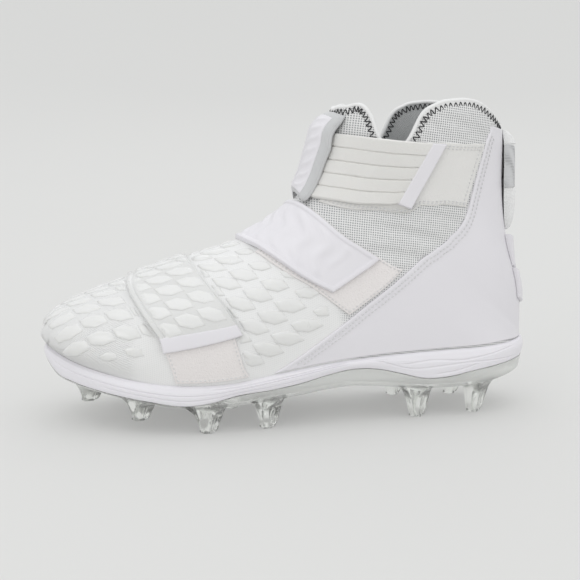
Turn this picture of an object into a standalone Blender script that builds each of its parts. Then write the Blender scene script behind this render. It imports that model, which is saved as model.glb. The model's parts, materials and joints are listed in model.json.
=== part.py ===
"""High-top cleat for american football, left shoe, closed by three straps.

Toe at -X, heel at +X, outer side at -Y, floor at z = 0, in metres. The boot is one
surface, worked out from sections that fan from the toe over the instep to the collar.
Straps, patches and the heel counter are slabs that follow that surface, and the sole
is a stack of rings round the same outline.
"""
from collections import namedtuple

import bmesh
import bpy
import numpy as np

# Driving sizes of the last
LENGTH = 0.312
BALL_WIDTH = 0.104
ANKLE_WIDTH = 0.073
TOE_HEIGHT = 0.050
INSTEP_HEIGHT = 0.096
COLLAR_HEIGHT = 0.196
BALL_LIFT = 0.030
HEEL_LIFT = 0.046
TOE_LIFT = 0.0475
SWING = 0.012
TOE_ROUND_OUTER = 0.085
TOE_ROUND_INNER = 0.055
HEEL_ROUND = 0.042

# Walls and clearances
UPPER_WALL = 0.0025
INSOLE_THICKNESS = 0.0035
INSOLE_TOE_GAP = 0.0030
INSOLE_HEEL_GAP = 0.0020
PATCH_THICKNESS = 0.0008
STRAP_THICKNESS = 0.0022
COUNTER_THICKNESS = 0.0010
TONGUE_PLATE_THICKNESS = 0.0035
PULL_TAB_THICKNESS = 0.0070
BAND_THICKNESS = 0.0008
HEEL_TAB_THICKNESS = 0.0045
CLEARANCE = 0.0003
BAND_CLEARANCE = 0.0005

# Sole
PLATE_THICKNESS = 0.0022
RIM_WIDTH = 0.0026
RIM_SLOPE = 0.0030
LEDGE_SIDE = 0.0014
LEDGE_TOE = 0.0014
LEDGE_HEEL = 0.0016
SIDE_BULGE = 0.0016
GROOVE_DEPTH = 0.0007
STUD_TIP = 0.0050
STUD_FLARE = 0.0125
STUD_SIDES = 9

TOE_X = -LENGTH / 2
OUTER, INNER = -1, 1

# The feather line, where upper and sole meet. Along is a share of the length. Toe and heel
# say how far its height goes from that at the ball to those at toe and heel. Outer and inner
# are the reach from the centre line, in ball widths.
Feather = namedtuple("Feather", "along toe heel outer inner")
FEATHER = [
    Feather(0.015, 0.95, 0.00, 0.395, 0.330),
    Feather(0.060, 0.64, 0.00, 0.430, 0.385),
    Feather(0.120, 0.355, 0.00, 0.452, 0.425),
    Feather(0.200, 0.09, 0.00, 0.474, 0.450),
    Feather(0.280, -0.02, 0.00, 0.484, 0.458),
    Feather(0.360, 0.00, 0.01, 0.478, 0.440),
    Feather(0.450, 0.00, 0.26, 0.442, 0.385),
    Feather(0.550, 0.00, 0.51, 0.400, 0.330),
    Feather(0.650, 0.00, 0.675, 0.370, 0.315),
    Feather(0.780, 0.00, 0.80, 0.352, 0.325),
    Feather(0.880, 0.00, 0.875, 0.345, 0.330),
    Feather(0.985, 0.00, 1.00, 0.335, 0.330),
]

# Sections of the boot, each a plane from its foot, on the feather line or up the back of the
# heel, to its top on the ridge. Top and foot are shares of the length. Rise and lift are the
# heights of top and foot: in toe heights or instep heights over the feather line, and in
# collar heights over the floor. Outer and inner are half widths, in ball or ankle widths.
# Ridge is the sideways place of the top in swings, widest the level of the full width, and
# square the fullness of the shoulder over it, where 2 is an ellipse.
Section = namedtuple("Section", "top rise foot lift outer inner ridge widest square")
TOE_SECTIONS = [
    Section(0.000, 0.134, 0.000, 0.134, 0.000, 0.000, 0.75, 0.45, 2.0),
    Section(0.005, 0.254, 0.006, 0.024, 0.125, 0.106, 0.75, 0.40, 2.0),
    Section(0.018, 0.365, 0.016, None, 0.221, 0.183, 0.75, 0.34, 2.1),
    Section(0.042, 0.543, 0.042, None, 0.317, 0.269, 0.71, 0.30, 2.2),
    Section(0.084, 0.758, 0.084, None, 0.404, 0.356, 0.63, 0.28, 2.25),
    Section(0.143, 0.986, 0.143, None, 0.471, 0.428, 0.50, 0.27, 2.25),
]
FOOT_SECTIONS = [
    Section(0.214, 0.620, 0.214, None, 0.510, 0.466, 0.42, 0.26, 2.2),
    Section(0.292, 0.728, 0.292, None, 0.519, 0.466, 0.37, 0.25, 2.1),
    Section(0.369, 0.799, 0.370, None, 0.500, 0.433, 0.33, 0.25, 1.95),
    Section(0.439, 0.865, 0.451, None, 0.462, 0.385, 0.25, 0.26, 1.9),
    Section(0.493, 0.952, 0.549, None, 0.423, 0.356, 0.17, 0.28, 1.9),
    Section(0.525, 1.048, 0.662, None, 0.389, 0.341, 0.08, 0.32, 2.0),
]
SHAFT_SECTIONS = [
    Section(0.5430, 0.776, 0.785, None, 0.527, 0.486, 0.04, 0.36, 2.05),
    Section(0.5550, 0.827, 0.895, None, 0.507, 0.486, 0.00, 0.40, 2.1),
    Section(0.5640, 0.867, 0.985, None, 0.500, 0.486, 0.00, 0.43, 2.15),
    Section(0.5720, 0.903, 0.982, 0.367, 0.493, 0.486, 0.00, 0.45, 2.2),
    Section(0.5790, 0.939, 0.951, 0.546, 0.493, 0.486, 0.00, 0.46, 2.2),
    Section(0.5850, 0.974, 0.937, 0.714, 0.500, 0.493, 0.00, 0.47, 2.25),
    Section(0.5905, 1.005, 0.935, 0.878, 0.507, 0.500, 0.00, 0.48, 2.3),
    Section(0.5960, 1.036, 0.930, 1.020, 0.514, 0.507, 0.00, 0.48, 2.3),
]
# How far up the fan the last section counts whose foot lies on the feather line. Places up
# the fan run from 0 at the toe to 1 past the collar.
HEEL_CORNER = 0.724
# How far up the fan, to either side of the heel's corner, the turn of the sections is eased
CORNER_EASE = 0.045
# How much of a section's half width its base on the feather line may reach.
WIDEST_BASE = 0.965

# The edge of the collar. Round goes from 0 at the back to 0.5 at the front of the ankle,
# and height is the share of the fan of sections: the flap at the back, the notch, the tongue.
Collar = namedtuple("Collar", "round height")
COLLAR = [
    Collar(0.000, 0.963),
    Collar(0.030, 0.964),
    Collar(0.062, 0.969),
    Collar(0.100, 0.978),
    Collar(0.150, 0.988),
    Collar(0.205, 0.987),
    Collar(0.245, 0.977),
    Collar(0.278, 0.950),
    Collar(0.300, 0.899),
    Collar(0.333, 0.856),
    Collar(0.366, 0.860),
    Collar(0.381, 0.894),
    Collar(0.396, 0.922),
    Collar(0.450, 0.918),
    Collar(0.500, 0.893),
]
# Rows of the upper's wall: as places in the list of sections, closer at the round toe and
# heel, and then as shares of the way from the heel's corner to the collar.
UPPER_ROWS = [0, 1, 2, 2.4, 3, 3.5, 4, 4.5, 5, 5.5, 6, 6.5, 7, 7.5, 8, 8.5, 9, 9.5, 10, 10.5, 11,
              11.5, 12, 12.6, 13, 13.35, 13.65, 13.87, 14]
COLLAR_ROWS = [0.09, 0.19, 0.30, 0.41, 0.53, 0.65, 0.78, 0.90, 1.0]

# The sides of the sole. White is the lower edge of the midsole and clear that of the plate,
# both in ball lifts over the floor.
Sole = namedtuple("Sole", "along white clear")
SOLE = [
    Sole(0.015, 1.320, 1.285),
    Sole(0.035, 1.090, 1.055),
    Sole(0.070, 0.955, 0.920),
    Sole(0.120, 0.840, 0.805),
    Sole(0.200, 0.700, 0.665),
    Sole(0.280, 0.600, 0.560),
    Sole(0.320, 0.650, 0.548),
    Sole(0.370, 0.775, 0.560),
    Sole(0.440, 0.845, 0.610),
    Sole(0.500, 0.940, 0.680),
    Sole(0.550, 1.060, 0.750),
    Sole(0.600, 1.145, 0.785),
    Sole(0.650, 1.120, 0.750),
    Sole(0.700, 1.000, 0.690),
    Sole(0.750, 0.870, 0.650),
    Sole(0.800, 0.875, 0.640),
    Sole(0.860, 0.995, 0.680),
    Sole(0.930, 1.100, 0.800),
    Sole(0.985, 1.170, 0.920),
]
# Profile of the midsole's side from the ledge down to the white edge: bulge in side bulges
# past the ledge and groove in groove depths.
Side = namedtuple("Side", "down bulge groove")
MIDSOLE_SIDE = [
    Side(0.00, 0.00, 0.0),
    Side(0.08, 0.45, 0.0),
    Side(0.30, 0.95, 0.0),
    Side(0.35, 0.95, 1.0),
    Side(0.40, 1.00, 0.0),
    Side(0.60, 0.90, 0.0),
    Side(0.65, 0.85, 1.0),
    Side(0.70, 0.80, 0.0),
    Side(1.00, 0.30, 0.0),
]

# Studs: along in lengths, across in ball widths, tip in ball lifts over the floor, size in
# flares, rake the shift of the root towards the heel in flares, and blade its narrowness.
Stud = namedtuple("Stud", "along across tip size rake blade")
STUDS = [
    Stud(0.092, -0.215, 0.52, 0.85, 0.05, 1.0),
    Stud(0.085, 0.180, 0.52, 0.85, 0.05, 1.0),
    Stud(0.187, -0.370, 0.24, 0.95, 0.00, 1.0),
    Stud(0.165, 0.345, 0.27, 0.95, 0.00, 1.0),
    Stud(0.315, -0.430, 0.00, 1.15, -0.12, 1.0),
    Stud(0.300, 0.400, 0.00, 1.15, -0.12, 1.0),
    Stud(0.432, -0.375, 0.00, 0.95, 0.00, 1.0),
    Stud(0.420, 0.330, 0.00, 0.95, 0.00, 1.0),
    Stud(0.372, -0.060, 0.13, 0.80, 0.00, 0.45),
    Stud(0.742, -0.285, 0.00, 1.00, -0.14, 1.0),
    Stud(0.742, 0.255, 0.00, 1.00, -0.14, 1.0),
    Stud(0.868, -0.235, 0.00, 0.95, 0.25, 1.0),
    Stud(0.868, 0.220, 0.00, 0.95, 0.25, 1.0),
]
# Profile of a stud: up is the share of its height, reach goes from the tip's radius, 0, to
# the flare's, 1, and lobe is the depth of its three ribs.
Shape = namedtuple("Shape", "up reach lobe")
STUD_PROFILE = [
    Shape(0.00, 0.00, 0.00),
    Shape(0.05, 0.04, 0.08),
    Shape(0.45, 0.22, 0.16),
    Shape(0.75, 0.50, 0.12),
    Shape(1.00, 1.00, 0.00),
]

# Edges of straps and patches on the boot: up is the share of the fan of sections and round
# that of the girth, from the outer feather line at 0 over the ridge at 0.5 to the inner one
# at 1. Over is 1 where the piece lies on a patch and 0 where it lies on the upper.
Band = namedtuple("Band", "low_up low_round high_up high_round over")
FOREFOOT_PATCH = [
    Band(0.249, 0.010, 0.371, 0.014, 0),
    Band(0.243, 0.050, 0.362, 0.045, 0),
    Band(0.234, 0.100, 0.355, 0.085, 0),
    Band(0.225, 0.150, 0.346, 0.140, 0),
    Band(0.212, 0.190, 0.335, 0.190, 0),
]
FOREFOOT_TIP = [
    Band(0.230, 0.103, 0.360, 0.133, 1),
    Band(0.227, 0.127, 0.355, 0.150, 1),
    Band(0.223, 0.150, 0.350, 0.166, 1),
]
FOREFOOT_STRAP = [
    Band(0.2225, 0.152, 0.3495, 0.168, 1),
    Band(0.207, 0.195, 0.333, 0.215, 1),
    Band(0.192, 0.250, 0.316, 0.265, 0),
    Band(0.180, 0.320, 0.298, 0.330, 0),
    Band(0.176, 0.390, 0.287, 0.400, 0),
    Band(0.178, 0.450, 0.283, 0.450, 0),
    Band(0.180, 0.500, 0.283, 0.500, 0),
    Band(0.180, 0.550, 0.284, 0.550, 0),
    Band(0.180, 0.620, 0.287, 0.620, 0),
    Band(0.184, 0.700, 0.294, 0.700, 0),
    Band(0.190, 0.780, 0.301, 0.780, 0),
    Band(0.196, 0.860, 0.306, 0.860, 0),
    Band(0.200, 0.960, 0.308, 0.960, 0),
]
MIDFOOT_PATCH = [
    Band(0.534, 0.120, 0.642, 0.204, 0),
    Band(0.520, 0.150, 0.632, 0.217, 0),
    Band(0.505, 0.180, 0.622, 0.237, 0),
    Band(0.485, 0.217, 0.606, 0.268, 0),
    Band(0.458, 0.255, 0.583, 0.310, 0),
    Band(0.424, 0.312, 0.560, 0.368, 0),
    Band(0.397, 0.372, 0.540, 0.418, 0),
]
MIDFOOT_TIP = [
    Band(0.522, 0.177, 0.620, 0.230, 1),
    Band(0.518, 0.184, 0.618, 0.237, 1),
    Band(0.514, 0.191, 0.616, 0.244, 1),
]
MIDFOOT_STRAP = [
    Band(0.513, 0.1925, 0.6155, 0.2455, 1),
    Band(0.492, 0.219, 0.603, 0.270, 1),
    Band(0.465, 0.258, 0.580, 0.312, 1),
    Band(0.432, 0.316, 0.557, 0.370, 1),
    Band(0.404, 0.375, 0.537, 0.420, 1),
    Band(0.384, 0.435, 0.520, 0.465, 0),
    Band(0.374, 0.500, 0.508, 0.510, 0),
    Band(0.376, 0.560, 0.501, 0.565, 0),
    Band(0.384, 0.640, 0.500, 0.640, 0),
    Band(0.396, 0.720, 0.507, 0.720, 0),
    Band(0.410, 0.800, 0.518, 0.795, 0),
    Band(0.422, 0.870, 0.530, 0.850, 0),
]
ANKLE_PATCH = [
    Band(0.833, 0.192, 0.935, 0.134, 0),
    Band(0.812, 0.230, 0.926, 0.180, 0),
    Band(0.785, 0.268, 0.914, 0.235, 0),
    Band(0.765, 0.293, 0.896, 0.280, 0),
    Band(0.725, 0.313, 0.866, 0.308, 0),
    Band(0.683, 0.333, 0.843, 0.345, 0),
    Band(0.642, 0.352, 0.835, 0.374, 0),
    Band(0.600, 0.382, 0.808, 0.410, 0),
    Band(0.572, 0.410, 0.765, 0.438, 0),
]
ANKLE_TIP = [
    Band(0.745, 0.307, 0.915, 0.223, 1),
    Band(0.738, 0.318, 0.911, 0.239, 1),
    Band(0.731, 0.329, 0.907, 0.254, 1),
]
ANKLE_STRAP = [
    Band(0.730, 0.3305, 0.9065, 0.256, 1),
    Band(0.705, 0.338, 0.896, 0.290, 1),
    Band(0.680, 0.347, 0.884, 0.320, 1),
    Band(0.650, 0.362, 0.871, 0.350, 1),
    Band(0.620, 0.383, 0.852, 0.385, 1),
    Band(0.588, 0.405, 0.828, 0.420, 1),
    Band(0.563, 0.430, 0.797, 0.455, 1),
    Band(0.548, 0.465, 0.775, 0.480, 1),
    Band(0.545, 0.500, 0.768, 0.503, 1),
    Band(0.548, 0.535, 0.775, 0.525, 0),
    Band(0.563, 0.570, 0.797, 0.555, 0),
    Band(0.588, 0.597, 0.826, 0.585, 0),
    Band(0.620, 0.620, 0.850, 0.617, 0),
    Band(0.655, 0.640, 0.872, 0.652, 0),
    Band(0.695, 0.665, 0.890, 0.690, 0),
    Band(0.725, 0.690, 0.903, 0.725, 0),
    Band(0.750, 0.715, 0.912, 0.765, 0),
]
BAND_COLUMNS = 5

# The front edge of the heel counter, the same on both sides
Edge = namedtuple("Edge", "up round")
COUNTER_EDGE = [
    Edge(0.414, 0.006),
    Edge(0.453, 0.037),
    Edge(0.510, 0.088),
    Edge(0.565, 0.138),
    Edge(0.642, 0.194),
    Edge(0.698, 0.225),
    Edge(HEEL_CORNER, 0.236),
    Edge(0.750, 0.232),
    Edge(0.785, 0.208),
    Edge(0.828, 0.176),
    Edge(0.863, 0.158),
    Edge(0.915, 0.133),
    Edge(0.943, 0.118),
    Edge(0.955, 0.106),
]
# Its lower edge and how far ahead of the heel it rises to that, its top, the place round the
# girth where the rows are read, and how fast its columns close up towards its front edge
COUNTER_BASE = 0.006
COUNTER_RUN = 0.03
COUNTER_TOP = 0.960
COUNTER_ROUND = 0.10
COUNTER_SQUEEZE = 0.55

# Pieces that stand on the ridge or down the back. Half is their half width as a share of the
# girth, stand the gap under them and thick their thickness, as shares of the full thickness.
Rib = namedtuple("Rib", "up half stand thick")
TONGUE_PLATE = [
    Rib(0.535, 0.066, 1.26, 0.60),
    Rib(0.548, 0.074, 1.34, 0.90),
    Rib(0.575, 0.070, 1.37, 1.00),
    Rib(0.620, 0.060, 1.41, 1.00),
    Rib(0.670, 0.050, 1.48, 1.00),
    Rib(0.720, 0.044, 1.55, 1.00),
    Rib(0.770, 0.042, 1.50, 1.00),
    Rib(0.815, 0.047, 1.05, 1.00),
    Rib(0.850, 0.055, 0.54, 0.90),
    Rib(0.880, 0.060, 0.07, 0.60),
]
PULL_TAB = [
    Rib(0.960, 0.036, 0.00, 0.30),
    Rib(0.953, 0.042, 0.05, 0.75),
    Rib(0.944, 0.045, 0.14, 1.00),
    Rib(0.943, 0.045, 0.14, 0.84),
    Rib(0.917, 0.045, 0.22, 0.84),
    Rib(0.893, 0.045, 0.20, 0.84),
    Rib(0.892, 0.045, 0.20, 1.00),
    Rib(0.874, 0.045, 0.12, 0.95),
    Rib(0.858, 0.043, 0.04, 0.75),
    Rib(0.847, 0.038, 0.00, 0.35),
]
# The band fills the shallow recess of the pull tab, whose floor its stands repeat.
PULL_TAB_BAND = [
    Rib(0.9425, 0.045, 0.98, 1.0),
    Rib(0.917, 0.045, 1.06, 1.0),
    Rib(0.8935, 0.045, 1.04, 1.0),
]
HEEL_TAB_UPPER = [
    Rib(0.838, 0.052, 0.00, 1.00),
    Rib(0.820, 0.052, 0.00, 0.70),
    Rib(0.801, 0.050, 0.00, 0.30),
]
HEEL_TAB_LOWER = [
    Rib(0.798, 0.052, 0.00, 0.62),
    Rib(0.780, 0.052, 0.00, 0.55),
    Rib(0.762, 0.050, 0.00, 0.40),
]


def along(share):
    """Place along the shoe of a share of its length."""
    return TOE_X + np.asarray(share, float) * LENGTH


def column(table, name):
    """One named column of a table, as an array."""
    return np.array([getattr(row, name) for row in table], float)


def smooth(knots, values, at, corner=None):
    """Cubic Hermite curve through the values, with the slopes of a parabola through neighbours.

    A corner is the index of a knot where the curve may turn sharply.
    """
    if corner is not None:
        before = smooth(knots[: corner + 1], values[: corner + 1], at)
        after = smooth(knots[corner:], values[corner:], at)
        return np.where(at <= knots[corner], before, after)
    slope = np.gradient(values, knots)
    at = np.asarray(at, float)
    i = np.clip(np.searchsorted(knots, at, side="right") - 1, 0, len(knots) - 2)
    step = knots[i + 1] - knots[i]
    s = np.clip((at - knots[i]) / step, 0, 1)
    ease = s * s * (3 - 2 * s)
    start = s * (1 - s) ** 2 * slope[i] * step
    end = s * s * (s - 1) * slope[i + 1] * step
    return values[i] + (values[i + 1] - values[i]) * ease + start + end


FEATHER_X = along(column(FEATHER, "along"))
FEATHER_Z = (
    BALL_LIFT
    + column(FEATHER, "toe") * (TOE_LIFT - BALL_LIFT)
    + column(FEATHER, "heel") * (HEEL_LIFT - BALL_LIFT)
)


def feather_height(x):
    """Height of the feather line."""
    return smooth(FEATHER_X, FEATHER_Z, x)


def centre_line(x):
    """The curve of the sole's middle: the toe swings inwards."""
    bend = 0.42
    share = (x - TOE_X) / LENGTH
    return SWING * np.clip((bend - share) / bend, 0, 1) ** 2


def rounded(distance, radius, power):
    """Rise from 0 to 1 of a round end, over its radius."""
    q = np.clip(distance / radius, 0, 1)
    return (1 - (1 - q) ** power) ** (1 / power)


def outline(x, side):
    """Sideways place of the feather line, with a round toe and heel."""
    name = "outer" if side == OUTER else "inner"
    toe_round = TOE_ROUND_OUTER if side == OUTER else TOE_ROUND_INNER
    width = smooth(FEATHER_X, column(FEATHER, name) * BALL_WIDTH, x)
    width = width * rounded(x - FEATHER_X[0], toe_round, 2.2)
    width = width * rounded(FEATHER_X[-1] - x, HEEL_ROUND, 2.1)
    return centre_line(x) + side * width


def section_rows():
    """The sections in metres: top x and z, foot x and z, half widths, ridge, widest, square."""
    rows = []
    for sections, height, width in (
        (TOE_SECTIONS, TOE_HEIGHT, BALL_WIDTH),
        (FOOT_SECTIONS, INSTEP_HEIGHT, BALL_WIDTH),
        (SHAFT_SECTIONS, COLLAR_HEIGHT, ANKLE_WIDTH),
    ):
        for s in sections:
            foot = along(s.foot)
            feather = float(feather_height(foot))
            start = 0.0 if sections is SHAFT_SECTIONS else feather
            low = feather if s.lift is None else start + s.lift * height
            rows.append(
                (along(s.top), start + s.rise * height, foot, low, s.outer * width,
                 s.inner * width, s.ridge * SWING, s.widest, s.square)
            )
    return np.array(rows, float)


ROWS = section_rows()
ON_FEATHER = [k for k, s in enumerate(TOE_SECTIONS + FOOT_SECTIONS + SHAFT_SECTIONS) if s.lift is None]
FIRST_OPEN, LAST_OPEN = ON_FEATHER[0], ON_FEATHER[-1]
JUST_UNDER = 1e-4


def fan_knots():
    """Places of the sections up the fan: the way from middle to middle, and a little for each."""
    middles = (ROWS[:, :2] + ROWS[:, 2:4]) / 2
    ways = np.hypot(*np.diff(middles, axis=0).T) + 0.01 * LENGTH
    knots = np.concatenate([[0], np.cumsum(ways)])
    corner = knots[LAST_OPEN]
    foot = knots * HEEL_CORNER / corner
    shaft = HEEL_CORNER + (knots - corner) * (1 - HEEL_CORNER) / (knots[-1] - corner)
    return np.where(knots <= corner, foot, shaft)


FAN = fan_knots()
OPEN_FROM, OPEN_TO = FAN[FIRST_OPEN], FAN[LAST_OPEN]


def feet_meet(up):
    """Whether the two feet of the sections there meet: under the toe and up the back."""
    return (up < OPEN_FROM - JUST_UNDER / 2) | (up > OPEN_TO - JUST_UNDER / 2)


def half_section(up, side, count):
    """Points of one side of the sections, from foot to ridge, as rows of count points.

    Below the widest level the side is an arc of an ellipse that starts at the feather line.
    Above it is a superellipse up to the ridge.
    """
    heel = [LAST_OPEN if name in ("foot", "lift") else None for name in Section._fields]
    top, rise, foot, low, outer, inner, ridge, widest, square = (
        smooth(FAN, ROWS[:, k], up, corner)[:, None] for k, corner in enumerate(heel)
    )
    full = outer if side == OUTER else inner
    meet = feet_meet(up)[:, None]
    low = np.where(meet, low, feather_height(foot))
    base = np.where(meet, 0, (outline(foot, side) - ridge) * side)
    full = np.maximum(full, base / WIDEST_BASE)
    reach = np.arccos(np.clip(base / np.maximum(full, 1e-6), 0, WIDEST_BASE))
    half = count // 2
    fall = np.linspace(1, 0, half + 1)[None] * reach
    climb = np.linspace(0, np.pi / 2, count - half)[None, 1:]
    under = widest * (1 - np.sin(fall) / np.sin(reach))
    over = widest + (1 - widest) * np.sin(climb) ** (2 / square)
    share = np.concatenate([under, over], 1)
    width = np.concatenate([np.cos(fall), np.cos(climb) ** (2 / square)], 1)
    return np.stack(
        [foot + (top - foot) * share, ridge + side * full * width, low + (rise - low) * share], -1
    )


def spaced(points, count):
    """The rows of points read again at even steps along each row."""
    steps = np.linalg.norm(np.diff(points, axis=1), axis=2) + 1e-9
    way = np.concatenate([np.zeros((len(points), 1)), np.cumsum(steps, 1)], 1)
    way /= way[:, -1:]
    even = np.linspace(0, 1, count)
    rows = [[np.interp(even, w, p[:, k]) for k in range(3)] for w, p in zip(way, points)]
    return np.array(rows).transpose(0, 2, 1)


FORM_UP = np.unique(np.concatenate([np.linspace(0, 1, 241), [OPEN_FROM - JUST_UNDER], FAN]))


def form_table(columns=81):
    """The boot as a table: rows up the fan, columns round from the outer to the inner foot."""
    outer, inner = (spaced(half_section(FORM_UP, side, 97), columns) for side in (OUTER, INNER))
    return np.concatenate([outer, inner[:, ::-1][:, 1:]], 1)


def read_table(table, up, round_):
    """Points of a table of the boot, read between its places."""
    up = np.clip(up, 0, 1)
    b = np.clip(round_, 0, 1) * (table.shape[1] - 1)
    i = np.clip(np.searchsorted(FORM_UP, up, side="right") - 1, 0, len(FORM_UP) - 2)
    j = np.minimum(b.astype(int), table.shape[1] - 2)
    s = ((up - FORM_UP[i]) / (FORM_UP[i + 1] - FORM_UP[i]))[..., None]
    t = (b - j)[..., None]
    near = table[i, j] * (1 - t) + table[i, j + 1] * t
    far = table[i + 1, j] * (1 - t) + table[i + 1, j + 1] * t
    return near * (1 - s) + far * s


def eased_table(table):
    """The table with the sections' turn at the heel's corner spread out, except at the feet."""
    round_ = np.linspace(0, 1, table.shape[1])[None]
    from_feet = np.clip(4 * np.minimum(round_, 1 - round_), 0, 1)
    near = np.exp(-(((FORM_UP - OPEN_TO) / (2 * CORNER_EASE)) ** 2))[:, None]
    shares = np.linspace(-0.8, 0.8, 9)
    weights = 1 - np.abs(shares)
    moves = CORNER_EASE * near * from_feet
    points = [read_table(table, FORM_UP[:, None] + share * moves, round_) for share in shares]
    return np.average(points, axis=0, weights=weights)


FORM = eased_table(form_table())


def on_form(up, round_):
    """Points of the boot, read between the places of its table."""
    return read_table(FORM, up, round_)


def surface(up, round_, out=0.0):
    """Points of the boot, moved out along its normal, which wraps round where the feet meet."""
    up, round_, out = np.broadcast_arrays(*(np.asarray(a, float) for a in (up, round_, out)))
    step = 0.006
    ahead, behind = round_ + step, round_ - step
    wraps = feet_meet(up)
    ahead = np.where(wraps, ahead % 1, np.minimum(ahead, 1))
    behind = np.where(wraps, behind % 1, np.maximum(behind, 0))
    above = np.where(wraps & (up < OPEN_FROM), np.minimum(up + step, OPEN_FROM - JUST_UNDER), up + step)
    below = np.where(wraps & (up > OPEN_FROM), np.maximum(up - step, OPEN_TO), up - step)
    upward = on_form(above, round_) - on_form(below, round_)
    onward = on_form(up, ahead) - on_form(up, behind)
    normal = np.cross(upward, onward)
    size = np.linalg.norm(normal, axis=-1, keepdims=True)
    normal = np.where(size > 1e-10, normal / np.maximum(size, 1e-10), (-1.0, 0.0, 0.0))
    return on_form(up, round_) + normal * out[..., None]


def material(name, colour, roughness, transmission=0.0):
    """A Principled finish of one colour."""
    made = bpy.data.materials.new(name)
    made.use_nodes = True
    shader = made.node_tree.nodes["Principled BSDF"]
    shader.inputs["Base Color"].default_value = (*colour, 1)
    shader.inputs["Roughness"].default_value = roughness
    shader.inputs["Metallic"].default_value = 0
    shader.inputs["Transmission Weight"].default_value = transmission
    return made


def add_piece(name, points, faces, finish):
    """An object made of points and faces, with points that meet joined."""
    mesh = bpy.data.meshes.new(name)
    mesh.from_pydata(np.asarray(points).tolist(), [], faces)
    shape = bmesh.new()
    shape.from_mesh(mesh)
    bmesh.ops.remove_doubles(shape, verts=shape.verts, dist=2e-6)
    bmesh.ops.dissolve_degenerate(shape, edges=shape.edges, dist=1e-6)
    shape.to_mesh(mesh)
    shape.free()
    mesh.materials.append(finish)
    mesh.shade_smooth()
    mesh.set_sharp_from_angle(angle=np.radians(50))
    piece = bpy.data.objects.new(name, mesh)
    bpy.context.scene.collection.objects.link(piece)
    piece.parent = CLEAT
    return piece


def slab(outside, inside, ends, sides, mirrored=None):
    """Points and faces of the solid between two grids.

    Ends says whether the first and the last row get a wall. Sides holds two lists, for the
    first and the last column, that say which steps from row to row get one. Four-sided faces
    are split along one diagonal up to the column mirrored and along the other after it, so
    that both sides of the boot are alike and slabs on one grid meet all over.
    """
    rows, columns = outside.shape[:2]
    mirrored = columns if mirrored is None else mirrored
    points = np.concatenate([outside.reshape(-1, 3), inside.reshape(-1, 3)])
    back = rows * columns

    def at(i, j):
        return i * columns + j

    faces = []
    for i in range(rows - 1):
        for j in range(columns - 1):
            a, b, c, d = at(i, j), at(i + 1, j), at(i + 1, j + 1), at(i, j + 1)
            for face in ((a, b, c), (a, c, d)) if j < mirrored else ((a, b, d), (b, c, d)):
                faces += [face, tuple(back + k for k in reversed(face))]
    for wanted, i, step in ((ends[0], 0, 1), (ends[1], rows - 1, -1)):
        for j in range(columns - 1) if wanted else ():
            a, b = at(i, j), at(i, j + 1)
            faces.append((a, b, back + b, back + a)[::step])
    for wanted, j, step in ((sides[0], 0, -1), (sides[1], columns - 1, 1)):
        for i in np.flatnonzero(wanted):
            a, b = at(i, j), at(i + 1, j)
            faces.append((a, b, back + b, back + a)[::step])
    return points, faces


def join(*slabs):
    """Several sets of points and faces as one."""
    points, faces, start = [], [], 0
    for some, their_faces in slabs:
        points.append(some)
        faces += [tuple(start + k for k in face) for face in their_faces]
        start += len(some)
    return np.concatenate(points), faces


def open_steps(up):
    """For each step from row to row, whether the feet are apart at either end of it."""
    meet = feet_meet(np.asarray(up))
    return ~(meet[:-1] & meet[1:])


def collar_height(round_):
    """How far up the fan the boot reaches, the same on both sides."""
    folded = np.minimum(round_, 1 - round_)
    return smooth(column(COLLAR, "round"), column(COLLAR, "height"), folded)


def upper_rows(round_):
    """Places up the fan of the upper's rows, for rounds given as one row or one for each."""
    low = np.interp(UPPER_ROWS, np.arange(len(FAN)), FAN)[:, None]
    share = np.concatenate([0 * low[:, 0], COLLAR_ROWS])[:, None]
    foot = np.concatenate([low[:, 0], np.full(len(COLLAR_ROWS), OPEN_TO)])[:, None]
    return foot + share * (collar_height(round_) - OPEN_TO)


def add_upper(finish):
    """The boot's wall: from the toe to the collar, open at the collar and at the feather line."""
    knots = column(COLLAR, "round")
    round_ = np.concatenate([knots, 1 - knots[-2::-1]])[None]
    up = upper_rows(round_)
    open_ = open_steps(up[:, 0])
    outside, inside = surface(up, round_), surface(up, round_, -UPPER_WALL)
    rows = np.flatnonzero(np.append(open_, False) | np.append(False, open_))
    for side in (0, -1):
        inside[rows, side, 2] = np.maximum(inside[rows, side, 2], outside[rows, side, 2])
    middle = len(knots) - 1
    return add_piece("upper", *slab(outside, inside, (False, True), (open_, open_), middle), finish)


def add_band(name, table, thickness, finish):
    """A strap or patch between its two edges, on the boot or where the table says so on a patch."""
    across = np.linspace(0, 1, BAND_COLUMNS)[None]
    knots = np.arange(len(table))
    rows = np.linspace(0, len(table) - 1, 2 * len(table) - 1)
    low_up, low_round, high_up, high_round, over = (
        smooth(knots, column(table, name), rows)[:, None] for name in Band._fields
    )
    up = low_up + (high_up - low_up) * across
    round_ = low_round + (high_round - low_round) * across
    lift = BAND_CLEARANCE + np.clip(over, 0, 1) * (PATCH_THICKNESS + BAND_CLEARANCE)
    every = np.ones(len(rows) - 1, bool)
    outside, inside = surface(up, round_, lift + thickness), surface(up, round_, lift)
    # The rows of these bands run from the outer side to the inner one, so their grids are turned.
    points, faces = slab(inside, outside, (True, True), (every, every))
    return add_piece(name, points, faces, finish)


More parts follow.
